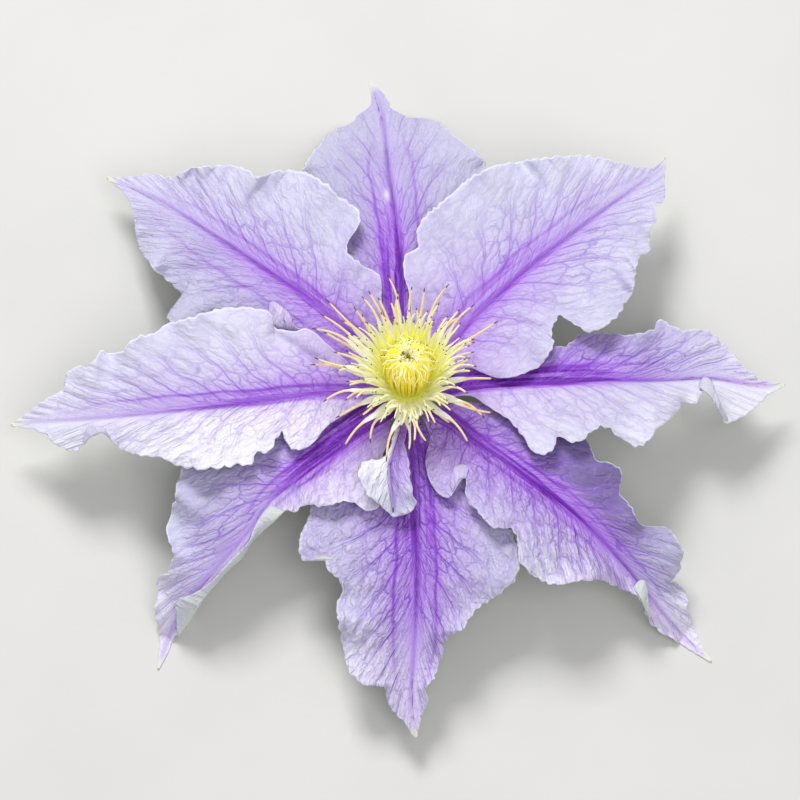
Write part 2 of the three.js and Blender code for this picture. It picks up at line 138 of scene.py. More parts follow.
# Each tepal: its level in the overlap, the rib's heights above the bases from claw to tip, how its
# margins lie, the start of its ruffles, the violet bar's width and strength and where it fades along
# the blade, how much painted shade each side gets where it lies in the shade of others (a negative
# amount paints light) and how puckered it is, how strong its side veins are, where the long ones run
# and how strong they are, its violet wash, and how much its tip is paled, partly its own paleness and
# partly painted light on the drooping tip (a negative amount darkens it), and from where. Then its rib
# and margins as they look, with x to the right and y up. A margin point may also say how far it is
# lifted and how far the blade bulges before it. A crease is (start, end, rise, half width) and a
# painted glint is (x, y, half width, half height). A turned piece of margin shows its underside
# between its fold (outer) and its free edge (inner), this far above the blade, and this green.

TEPALS = {
    "north": dict(
        level=0, heights=[0, 2.2, 1.4, -4, -18], lies=("under", "under"), wave=0.3,
        bar=(3.4, 2.0), blush=1.05, fade=(0.3, 0.8), dusk=(1.4, 1.0), crepe=(0.6, 0.5),
        veins=(0.9, 1.0), long_veins=(3.7, 5.0), long_strength=(1.0, 0.75), wash=(0.22, 0.3),
        pale_tip=-0.3,
        # A painted glint on the blade
        spots=[(-4.3, 39.9, 0.55, 1.2)],
        rib=[(-0.3, 3.9), (-1.2, 12), (-1.9, 25.4), (-2.6, 35), (-3.9, 44), (-5.3, 56.5), (-7.6, 62.4)],
        ccw=[(-3.2, 8.5), (-8, 14), (-14, 22), (-19, 32), (-21.8, 40), (-21.3, 44.7), (-19.2, 48),
             (-15.9, 52), (-11.3, 54.4), (-9.9, 56.1), (-7.6, 57.5), (-7.3, 59.2)],
        cw=[(2.4, 8.5), (8, 14), (13, 23), (16.5, 33), (17.5, 40), (16.1, 45.4), (13.5, 48.6), (9.8, 51.6),
            (6.7, 54), (4.4, 55.3), (0.1, 55.3), (-1.9, 56.4), (-3.6, 57.5), (-4.2, 59.2), (-5.6, 61)],
    ),
    "northeast": dict(
        level=3, heights=[0, 2.6, 3, 1, -4], lies=("over", "over"), wave=1.1,
        bar=(4.0, 2.0), blush=0.6, fade=(0.3, 0.95), dusk=(-0.1, -0.2), crepe=(0.3, 0.45),
        veins=(0.8, 0.85), long_veins=(3.9, None), long_strength=(0.5, 0), wash=(0.2, 0.3),
        rib=[(3.4, 3.3), (7, 8), (13.1, 15.3), (20.7, 22.7), (30.1, 30.3), (39.4, 37.3), (47.4, 42.8),
             (50.3, 45), (51.6, 47.7)],
        ccw=[(2.4, 7), (1, 13), (0.3, 20), (-0.9, 24.9), (-0.5, 28.1), (1.9, 29.6), (1.6, 32.3),
             (3.3, 35.7), (7.3, 38.9), (11.8, 43.1), (16.1, 45.4), (22.1, 46.7), (28.4, 47.6), (35.4, 47.8),
             (41.7, 46.7), (46.4, 45.5), (49.4, 45.6)],
        cw=[(7, 3.9), (12.1, 5.5), (14.7, 4.5), (18.1, 3.4), (22.4, 4), (26.7, 6.3), (29, 9.8), (28.8, 13),
            (30, 15.5), (32.1, 15), (36.2, 12.6), (41.4, 15.3), (45.1, 21.7), (46.2, 27.4), (48.5, 28.9),
            (48.4, 33), (49.6, 35), (49.4, 38), (51.2, 39), (51.3, 43.6)],
    ),
    "east": dict(
        level=2, heights=[0, 2.6, 2.5, -0.5, -6], lies=("under", "over"), wave=2.2,
        bar=(3.0, 0.8), blush=1.4, fade=(0.35, 0.68), dusk=(1.8, -0.5), crepe=(0.5, 0.5),
        veins=(1.3, 0.5), long_veins=(3.4, None), long_strength=(0.5, 0), wash=(0.3, 0.1),
        pale_tip=0.8, pale_from=0.45,
        turned=[dict(
            lift=0.9, green=0.5, outer=[(58.2, 1.4), (60, 0.2), (61.4, -1.8), (62.6, -4), (63.8, -5.4)],
            inner=[(58.3, 2.6), (59.2, 3.6), (60.4, 3.2), (61.3, 1.4), (62, -0.6), (63.3, -3.4),
                   (64, -4.8)])],
        rib=[(4.4, 0.2), (13.4, 1.6), (27.4, 2.6), (39.4, 3), (51.4, 2.9), (61, 3.2), (71, 1.6), (75.3, 2)],
        ccw=[(7.6, 4), (13, 7.6), (20, 9.6), (26, 9.9), (31.8, 9.9), (34.2, 12), (38.2, 12.4), (44.6, 12.1),
             (48.8, 13.1), (50.4, 15), (53, 13.7), (55.8, 12.8), (59.3, 13.2), (62.6, 10.8), (66, 6.8),
             (68.4, 4.6), (71.6, 2.8)],
        cw=[(8, -0.5), (12.6, -0.2), (15.8, -2.2), (20.2, -5), (22.5, -7.8), (25, -11.2), (27.4, -11.9),
            (29.4, -10.2), (30.2, -8.4), (33.4, -9.6), (37.4, -6.9), (39.1, -6.2), (42.2, -8.4),
            (46.2, -10.3), (50.2, -6.6), (53.8, -3.6), (54.8, -1.6), (57.8, -1.6), (58.8, 0.8, 0.5),
            (60.4, -0.4, 1), (61.6, -2.4, 0.6), (64, -5.6), (66.1, -4.8), (69.4, -2.6), (71.8, -0.2)],
    ),
    "southeast": dict(
        level=1, heights=[0, 2.4, 1.6, -4.5, -18], lies=("under", "over"), wave=0.8,
        bar=(2.2, 2.0), blush=0.92, fade=(0.35, 0.85), dusk=(5.2, -0.1), crepe=(0.7, 1.1),
        veins=(1.2, 1.1), long_veins=(2.6, 2.8), long_strength=(0.7, 0.5), wash=(0.14, 0.38),
        pale_tip=1.5, pale_from=0.3,
        turned=[
            dict(lift=0.25, green=0, dusk=-0.4, crepe=0.8, wash=0.3,
                 outer=[(8.9, -19.2), (9.6, -18), (10.3, -16.8), (11.6, -16.6)],
                 inner=[(8.5, -18.2), (8.7, -16), (9.3, -14.4), (10.7, -13.9), (12, -14.3), (11.9, -15.6)]),
            dict(lift=0.5, green=0.9, dusk=0.4,
                 outer=[(45.2, -38.8), (46.2, -40.2), (47.2, -42.2), (48.2, -44.6)],
                 inner=[(45.3, -38.2), (46.1, -37.2), (47.1, -37), (47.9, -38.6), (48.1, -41.4),
                        (48.6, -44.2)])],
        rib=[(3.2, -2.6), (9.1, -5.2), (14.7, -9.7), (21.4, -14.3), (31.4, -22), (38.1, -28.3),
             (43.7, -34.7), (49.4, -41.7), (54.7, -48), (60.6, -53.3)],
        ccw=[(6.2, -2.2), (10, -1.6), (14.5, -1.6), (24, -3.6), (32, -5.5), (35.7, -8.5), (37.6, -12.7),
             (41.9, -14.2), (42.9, -16.4), (42.2, -19), (44.7, -22.5), (46.4, -25.7), (52.4, -27),
             (54.9, -31.7), (53.7, -36), (52.4, -37), (55.4, -39.2), (56.1, -43), (57.4, -47.3),
             (59.2, -51)],
        cw=[(3.5, -5.8), (4.4, -8.3), (3.5, -13), (4.4, -17.3), (6.7, -20.2), (8.4, -20.4),
            (10.3, -16.8, 0.6), (11.6, -16.6, 0.6), (11.5, -20.2), (14.6, -24), (16.7, -26.5),
            (20.7, -26.7), (22, -30), (22.3, -33), (25.4, -36.3), (29.4, -37.9), (34.2, -37.1),
            (38.6, -37.1), (43, -38.9), (45.8, -40.2), (47.2, -42.6), (48.6, -45.8), (52.1, -48.5),
            (56, -50.8)],
    ),
    "south": dict(
        level=0, heights=[0, 2.2, 2, -1.5, -7], lies=("under", "under"), wave=1.7,
        bar=(4.0, 4.4), blush=0.72, fade=(0.3, 0.85), dusk=(0.0, 0.1), crepe=(0.9, 1.1),
        veins=(1.4, 1.5), long_veins=(4.2, 4.6), long_strength=(1.0, 1.0), wash=(0.5, 0.5),
        pale_tip=0.9, pale_from=0.45,
        rib=[(0.1, -3.9), (0.9, -10), (1.5, -20), (1.8, -37), (1.2, -51), (0.6, -62), (1.5, -68.6)],
        ccw=[(4.4, -7.8), (10, -13), (16, -20), (20, -26), (22, -30.6), (21.8, -36.2), (18.8, -39.3),
             (16.4, -41), (13.2, -43.3), (11, -46.8), (8, -48.3), (6.6, -52.6), (4.8, -57.2), (3.2, -58.6),
             (4.1, -60.4), (2.8, -64)],
        cw=[(-4.6, -7.4), (-10, -13), (-15, -18), (-19, -21), (-19.8, -24.2), (-21.8, -29.4), (-21, -33.1),
            (-16.5, -32.1), (-16.4, -34.4), (-13.3, -37.8), (-14.2, -42.6), (-13.4, -48.2), (-12.9, -51.8),
            (-10.8, -56.6), (-8, -58.2), (-5.1, -57.9), (-3.6, -62.2), (-0.4, -66)],
    ),
    "southwest": dict(
        level=1, heights=[0, 2.4, 1.8, -3.5, -18], lies=("over", "under"), wave=2.9,
        bar=(1.7, 3.0), blush=1.45, fade=(0.2, 0.46), dusk=(-1.2, 0.5), crepe=(0.9, 0.6),
        veins=(0.4, 1.0), long_veins=(2.2, 3.0), long_strength=(0.5, 0.8), wash=(0.2, 0.2), pale_tip=0.9,
        creases=[((-27, -21), (-15, -15.3), -0.7, 0.9)],
        turned=[
            dict(lift=1.1, green=0.85,
                 outer=[(-24.6, -23.2), (-26.2, -24.8), (-31, -29.4), (-32.8, -32.4), (-35.6, -34.8),
                        (-38.6, -38.2), (-41.2, -41.4), (-43.6, -45.3), (-45.8, -48.4)],
                 inner=[(-27.4, -21.9), (-29.2, -23.8), (-30.8, -26.6), (-31.9, -29.4), (-33.9, -31.4),
                        (-36.6, -34.2), (-39.6, -37.5), (-42.9, -39.7), (-46.3, -41.3), (-46.3, -45),
                        (-46.2, -47.8)])],
        rib=[(-3.2, -2.6), (-10.3, -7.3), (-16.6, -12), (-23.3, -17.3), (-28.2, -21.8), (-31.6, -27),
             (-35.9, -32), (-41.8, -38.9), (-46.5, -45.8), (-50, -54.8)],
        ccw=[(-3.6, -5.6), (-3.7, -9), (-5, -12), (-4.8, -18), (-5.6, -22.2), (-8.3, -23.1), (-10.9, -21.4),
             (-17.6, -22.3), (-20.3, -21.9), (-22.6, -23.3), (-25.6, -23), (-28.2, -25, -0.5),
             (-31, -28.6, -2, 1), (-34.5, -31.5, -4.5, 3), (-37.2, -34.6, -3.5, 2.5),
             (-39.3, -38.4, -1, 0.6), (-42.6, -42.7), (-45.9, -47.7)],
        cw=[(-5.6, -1.2), (-14, -2.2), (-26, -5), (-37, -9), (-43, -12), (-45.8, -16), (-46.8, -21.7),
            (-48.3, -27), (-47, -31.5), (-47.9, -35), (-50.2, -36.8), (-50, -40), (-50.7, -42.7),
            (-49.6, -47.7)],
    ),
    "west": dict(
        level=3, heights=[0, 2.6, 2.6, 0, -5], lies=("over", "over"), wave=0.5,
        bar=(1.1, 2.8), blush=0.6, fade=(0.25, 0.85), dusk=(-2.2, -0.5), crepe=(0.9, 0.3),
        veins=(0.6, 0.9), long_veins=(None, 3.2), long_strength=(0, 0.9), wash=(0.06, 0.22), pale_tip=0.3,
        creases=[((-27, 12), (-17, 6), -0.8, 1.2), ((-41.6, 16.2), (-35, 13), 0.5, 1.3)],
        turned=[dict(
            lift=0.6, green=0.3, outer=[(-59.4, -8.9), (-61.1, -7.6), (-63.2, -8.3), (-64.8, -9.6)],
            inner=[(-59.8, -8), (-61.2, -6.5), (-63.8, -6.3), (-65, -8.4)])],
        rib=[(-4.4, 0.2), (-18.6, 0), (-30.6, -1.6), (-46.6, -3.2), (-62.6, -4.8), (-72.6, -5.4),
             (-79.4, -6)],
        ccw=[(-8, -1.6), (-11, -3), (-16.1, -6.2), (-18.8, -9.4), (-21, -10.8), (-23.4, -10.8),
             (-25.3, -7.4), (-26.8, -9.8), (-28.6, -11.8), (-30.4, -11.4), (-31.4, -13.8), (-35.6, -14.2),
             (-41, -14.9), (-45.4, -14.2), (-49.8, -12.5), (-54, -12), (-57.6, -10.8), (-61.1, -7.6),
             (-63.8, -8.8), (-66.6, -11.2), (-70, -10.2), (-73.4, -7.4)],
        cw=[(-7.4, 2.4), (-11, 5.6), (-16, 10), (-20, 13.2), (-23.4, 12.8), (-27.2, 13.9), (-27, 16),
            (-30.2, 17.3), (-36.6, 17.4), (-43.8, 15.4), (-48.6, 14), (-50.6, 12.4), (-54.2, 11.6),
            (-58.4, 8.2), (-61.1, 8.9), (-63.8, 5.8), (-65.8, 5.8), (-68.4, 4), (-68.6, 1.4), (-72.4, -0.8),
            (-75.8, -3.4)],
    ),
    "northwest": dict(
        level=1, heights=[0, 2.3, 1.5, -1.5, -6], lies=("under", "over"), wave=1.9,
        bar=(2.8, 2.6), blush=0.66, fade=(0.3, 0.85), dusk=(0.8, 0), crepe=(0.6, 0.5),
        veins=(0.8, 0.85), long_veins=(5.4, 2.8), long_strength=(0.5, 0.6), wash=(0.24, 0.24),
        creases=[((-43.2, 46), (-41.5, 37), -0.9, 0.9)],
        turned=[dict(
            lift=1.2, green=0, dusk=-0.9, crepe=1.2, wash=0.3,
            outer=[(-27.9, 15.6), (-26.9, 13.8), (-24, 13), (-21.4, 12.9)],
            inner=[(-27.8, 18.4), (-26.9, 18.7), (-25.2, 17.6), (-23.7, 16.2), (-22.9, 13.7)])],
        rib=[(-3.1, 2.7), (-8, 9), (-12, 12.5), (-19.9, 19), (-29.9, 26), (-39.9, 32.7), (-49.9, 39),
             (-60.2, 43.4)],
        ccw=[(-5.8, 3.4), (-14, 7), (-25, 10), (-36, 12), (-44, 13.4), (-48.3, 15.4), (-44.9, 19.2),
             (-47.9, 22.7), (-50.4, 24.8), (-52.9, 27.8), (-54.4, 32), (-54.9, 36.7), (-56.8, 40.3)],
        cw=[(-2.9, 6.4), (-4.5, 12), (-5.3, 19.4), (-5.6, 23.7), (-9.6, 26.3), (-12.3, 29.3), (-9.8, 34.3),
            (-9.6, 36.5), (-13.9, 39.9), (-17, 42.7), (-21.3, 44.7), (-26.9, 44.7), (-29.8, 43.6),
            (-33.3, 45.6), (-38.9, 45.8), (-43.4, 45.4), (-46.9, 43.6), (-51.6, 44.1), (-56.6, 43.6)],
    ),
}

PETALOID = dict(
    level=0, heights=[2, 4.4, 6.2, 6, 4.6], lies=("over", "over"), wave=0,
    bar=(2.0, 0.3), blush=0.16, fade=(0.5, 1), dusk=(-0.3, -2.0), crepe=(0.7, 0.9),
    veins=(0.8, 0), long_veins=(1.6, None), long_strength=(0.4, 0), wash=(0.3, 0), pointed=False,
    creases=[((-3.6, -14), (-3, -23.5), -0.9, 0.5)],
    rib=[(-0.7, -3.9), (-2.5, -10), (-3.6, -14), (-3.3, -19), (-2.8, -24.4)],
    ccw=[(-0.6, -9), (-0.1, -12.3), (0.5, -16.3), (0.9, -19.6), (1.6, -21.6), (0.6, -23.4)],
    cw=[(-3.2, -9.4), (-4.8, -12.6), (-8.9, -13.4, 1), (-9.8, -15.4, 1.4), (-8, -20, 1), (-6, -21.6),
        (-4.2, -23.2)],
)

# Stamens: the seen tips of the outer ones, and the rings inside them

OUTER_TIPS = [
    (-16.3, 19.1), (-19.3, 13.3), (-17, 12.8), (-13.4, 15), (-18.8, 7.5), (-19.5, 6.1), (-17, -1.4),
    (-14.5, -4.6), (-13, -10.7), (-10.8, 17.6), (-9.3, 19.8), (-7.9, 20.8), (-6, 19.5),
    (-4.2, 24.2), (-1.8, 20.9), (0.8, 21.7), (3.3, 21.4), (8.2, 22.2), (13.2, 18.1), (11, 15.8),
    (18, 14.8), (13.4, 10.5), (12.5, 7.5), (17.4, 3.3), (17.6, -3.6), (15.4, -4.7), (12.3, -10.1),
    (5.7, -6.1), (4.1, -9.9), (1.2, -9.7), (-4.3, -13.3), (-9.5, -4.3), (-17.6, 16.3), (4.8, 15.6),
]
OUTER_TIP_HEIGHT = 11
INNER_RINGS = [
    dict(count=22, tip_radius=12.5, tip_height=14.5, spread=1.6, tone=0.15, droop=3.0, out=0.0),
    dict(count=20, tip_radius=8.2, tip_height=16.5, spread=0.9, tone=0.85, droop=6.0, out=3.2),
]
FILLING_RINGS = [
    dict(count=20, tip_radius=14.0, tip_height=12.6, spread=2.2, tone=0.1, droop=4.5, out=2.5),
    dict(count=34, tip_radius=10.8, tip_height=14.6, spread=1.9, tone=0.42, droop=3.5, out=2.0),
    dict(count=36, tip_radius=8.4, tip_height=15.6, spread=1.5, tone=0.85, droop=5.0, out=3.0),
    dict(count=52, tip_radius=5.8, tip_height=11.4, spread=0.7, tone=1.0, droop=2.6, out=5.0, root=3.75),
]
STAMEN_ROOT = (3.4, 5.2)
STAMEN_ROOT_TOP = RECEPTACLE_TOP + 2.4
STAMEN_SEED = 7
STAMEN_POINTS = 19
OUTER_TONE = 0.2
FRONT_TONE = 0.34

# The head of styles

HEAD_BOTTOM = RECEPTACLE_TOP + 0.3
HEAD_TOP = BASE_HEIGHT + 16.4
HEAD_RISE = HEAD_TOP - HEAD_BOTTOM
CORE_RADIUS = 3.9
STYLES = 34
SILKY_ENDS = 110
# Dark threads of painted shade in the middle of the head
PAINTED_SHADE_THREADS = 40
CURLS = 70
STYLE_SEED = 3
THREAD_POINTS = 12

UP = np.array([0.0, 0.0, 1.0])


# Curves and the eye's rays


def smoothstep(value, low, high):
    share = np.clip((value - low) / (high - low), 0, 1)
    return share * share * (3 - 2 * share)


def lerp(start, end, share):
    return start + (end - start) * share


class Path:
    """A smooth curve through points: centripetal, or uniform where the points are at even steps."""

    def __init__(self, points, even=False, divisions=200):
        self.points = np.array(points, float)
        self.power = 0.0 if even else 0.5
        self.marks = self.at(np.linspace(0, 1, divisions + 1))
        steps = np.linalg.norm(np.diff(self.marks, axis=0), axis=1)
        self.lengths = np.concatenate([[0], np.cumsum(steps)])
        self.length = self.lengths[-1]

    def at(self, place):
        """Points at these places, from 0 to 1 and even from one control point to the next."""
        points, last = self.points, len(self.points) - 1
        spot = np.clip(np.asarray(place, float), 0, 1) * last
        k = np.minimum(spot.astype(int), last - 1)
        part = (spot - k)[:, None]
        padded = np.vstack([2 * points[0] - points[1], points, 2 * points[-1] - points[-2]])
        before, start, end, after = (padded[k + shift] for shift in range(4))
        gaps = [np.linalg.norm(b - a, axis=1)[:, None] ** self.power
                for a, b in ((before, start), (start, end), (end, after))]
        leave = ((start - before) / gaps[0] - (end - before) / (gaps[0] + gaps[1])
                 + (end - start) / gaps[1]) * gaps[1]
        arrive = ((end - start) / gaps[1] - (after - start) / (gaps[1] + gaps[2])
                  + (after - end) / gaps[2]) * gaps[1]
        square = part * part
        return (start + leave * part + (3 * (end - start) - 2 * leave - arrive) * square
                + (2 * (start - end) + leave + arrive) * square * part)

    def along(self, share):
        """Points at these shares of the curve's length."""
        return self.at(self._place(share))

    def heading(self, share):
        """The direction of the curve at these shares of its length."""
        nudge = 1e-4
        place = self._place(share)
        ahead = self.at(np.minimum(place + nudge, 1)) - self.at(np.maximum(place - nudge, 0))
        return ahead / np.linalg.norm(ahead, axis=1)[:, None]

    def _place(self, share):
        wanted = np.asarray(share, float) * self.length
        return np.interp(wanted, self.lengths, np.linspace(0, 1, len(self.lengths)))


def plane_point(x, y):
    x, y = np.broadcast_arrays(np.asarray(x, float), np.asarray(y, float))
    height = BASE_HEIGHT + y * math.cos(EYE_ELEVATION)
    return np.stack([x, y * math.sin(EYE_ELEVATION), height], axis=-1)


EYE = plane_point(*EYE_AIM) + EYE_DISTANCE * np.array(
    [0, -math.cos(EYE_ELEVATION), math.sin(EYE_ELEVATION)])


def carried(x, y, height):
    """Where the eye's rays through the picture points (x, y) meet these heights."""
    in_plane = plane_point(x, y)
    reach = (height - EYE[2]) / (in_plane[..., 2] - EYE[2])
    return EYE + (in_plane - EYE) * reach[..., None]


def axis_of_bloom():
    """The bloom's upright axis in the row frame, through the middle of its head of styles."""
    low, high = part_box("pistils")
    return np.array([(low.x + high.x) / 2, (low.y + high.y) / 2, 0]) / MM


AXIS = axis_of_bloom()


# Ripples that look random and always come out the same


def ripples(x, y, length, seed):
    """A smooth field of about unit size whose waves are this long."""
    draw = np.random.default_rng(seed)
    x, y = np.broadcast_arrays(x, y)
    total = np.zeros(x.shape)
    waves, usual_total = 7, 2.6
    for _ in range(waves):
        turn = draw.uniform(0, 2 * math.pi)
        pitch = 2 * math.pi / (length * draw.uniform(0.7, 1.5))
        total += np.sin(pitch * (x * math.cos(turn) + y * math.sin(turn)) + draw.uniform(0, 6.3))
    return total / usual_total


# Blades


class Margin:
    """One margin of a blade, and where each of its points lies along the rib."""

    def __init__(self, points, rib, side):
        ends = [corner(rib, 0, side, CLAW_HALF_WIDTH), corner(rib, 1, side, TIP_HALF_WIDTH)]
        rows = [ends[0], *points, ends[1]]
        self.rows = np.array([tuple(row) + (0,) * (4 - len(row)) for row in rows], float)
        self.curve = Path(self.rows[:, :3])
        divisions, smallest_step = 160, 0.012
        marks = rib.along(np.linspace(0, 1, divisions + 1))
        place, places = -smallest_step, []
        for row in self.rows:
            nearest = np.argmin(np.hypot(marks[:, 0] - row[0], marks[:, 1] - row[1])) / divisions
            place = max(nearest, place + smallest_step)
            places.append(place)
        places = np.array(places)
        self.places = (places - places[0]) / (places[-1] - places[0])

    def at(self, t):
        """x, y, lift and bulge at these places along the rib."""
        count = len(self.rows)
        k = np.clip(np.searchsorted(self.places, t, side="right") - 1, 0, count - 2)
        part = (t - self.places[k]) / (self.places[k + 1] - self.places[k])
        spot = self.curve.at((k + part) / (count - 1))
        return spot[:, 0], spot[:, 1], spot[:, 2], lerp(self.rows[k, 3], self.rows[k + 1, 3], part)


def bell(places):
    """Weights for these places, in widths from the middle, that add up to 1."""
    weights = np.exp(-places ** 2)
    return weights / weights.sum()


class Course:
    """Where points lie beside a rib: how far along it, and how far off it to the left."""

    def __init__(self, rib, calm=0.0):
        step, before, beyond = 0.3, 25, 12
        share = np.linspace(0, 1, int(rib.length / step) + 1)
        spots, ahead = rib.along(share), rib.heading(share)
        back = np.arange(before, 0, -step)[:, None]
        front = np.arange(step, beyond, step)[:, None]
        spots = np.vstack([spots[0] - ahead[0] * back, spots, spots[-1] + ahead[-1] * front])
        if calm:
            reach = int(2.5 * calm / step)
            weights = bell(np.arange(-reach, reach + 1) * step / calm / math.sqrt(2))
            inner = [np.convolve(spots[:, k], weights, mode="valid") for k in (0, 1)]
            spots[reach:-reach] = np.stack(inner, axis=1)
        self.spots = spots
        self.ahead = np.gradient(spots, axis=0)
        self.ahead /= np.linalg.norm(self.ahead, axis=1)[:, None]
        steps = np.linalg.norm(np.diff(spots, axis=0), axis=1)
        self.run = np.concatenate([[0], np.cumsum(steps)]) - steps[:len(back)].sum()

    def of(self, x, y):
        points = np.stack([np.ravel(x), np.ravel(y)], axis=1)
        away = ((points[:, None] - self.spots[None]) ** 2).sum(-1)
        k = np.argmin(away, axis=1)
        gap, ahead = points - self.spots[k], self.ahead[k]
        run = self.run[k] + (gap * ahead).sum(-1)
        left = ahead[:, 0] * gap[:, 1] - ahead[:, 1] * gap[:, 0]
        return run.reshape(np.shape(x)), left.reshape(np.shape(x))


def outward(rib, t, side):
    ahead = rib.heading(t)
    return side * np.stack([-ahead[:, 1], ahead[:, 0]], axis=1)


def corner(rib, t, side, half_width):
    spot = rib.along([t])[0] + outward(rib, [t], side)[0] * half_width
    return tuple(spot)


def toothed(x, y, t, size, seed):
    """The margin with its small uneven teeth, and how far along it each point lies."""
    run = np.concatenate([[0], np.cumsum(np.hypot(np.diff(x), np.diff(y)))])
    fade = smoothstep(t, 0.12, 0.3) * (1 - smoothstep(t, 0.9, 0.99))
    uneven = ripples(run, 0, TOOTH_DRIFT, seed)
    scallop = np.abs(np.sin(math.pi * run / TOOTH_SPACING + 1.6 * uneven)) - 0.6
    fine = ripples(run, 0, FINE_TOOTH, seed + 1) * 0.3
    push = size * fade * (scallop * (0.75 + 0.4 * uneven) + fine)
    ahead = np.stack([np.gradient(x), np.gradient(y)], axis=1)
    ahead /= np.maximum(np.linalg.norm(ahead, axis=1), 1e-6)[:, None]
    return x - ahead[:, 1] * push, y + ahead[:, 0] * push, run


def spread_out(on_rib, edge, v):
    """One coordinate from the rib out to the margin, in even rows that only crowd at the margin."""
    reach, width = 14, 5.0
    weights = bell(np.arange(-reach, reach + 1) / width)
    offset = edge - on_rib
    before, after = 2 * offset[0] - offset[reach:0:-1], 2 * offset[-1] - offset[-2:-reach - 2:-1]
    padded = np.concatenate([before, offset, after])
    even = np.convolve(padded, weights, mode="valid")
    return on_rib[:, None] + even[:, None] * v + (offset - even)[:, None] * v ** SWERVE_POWER


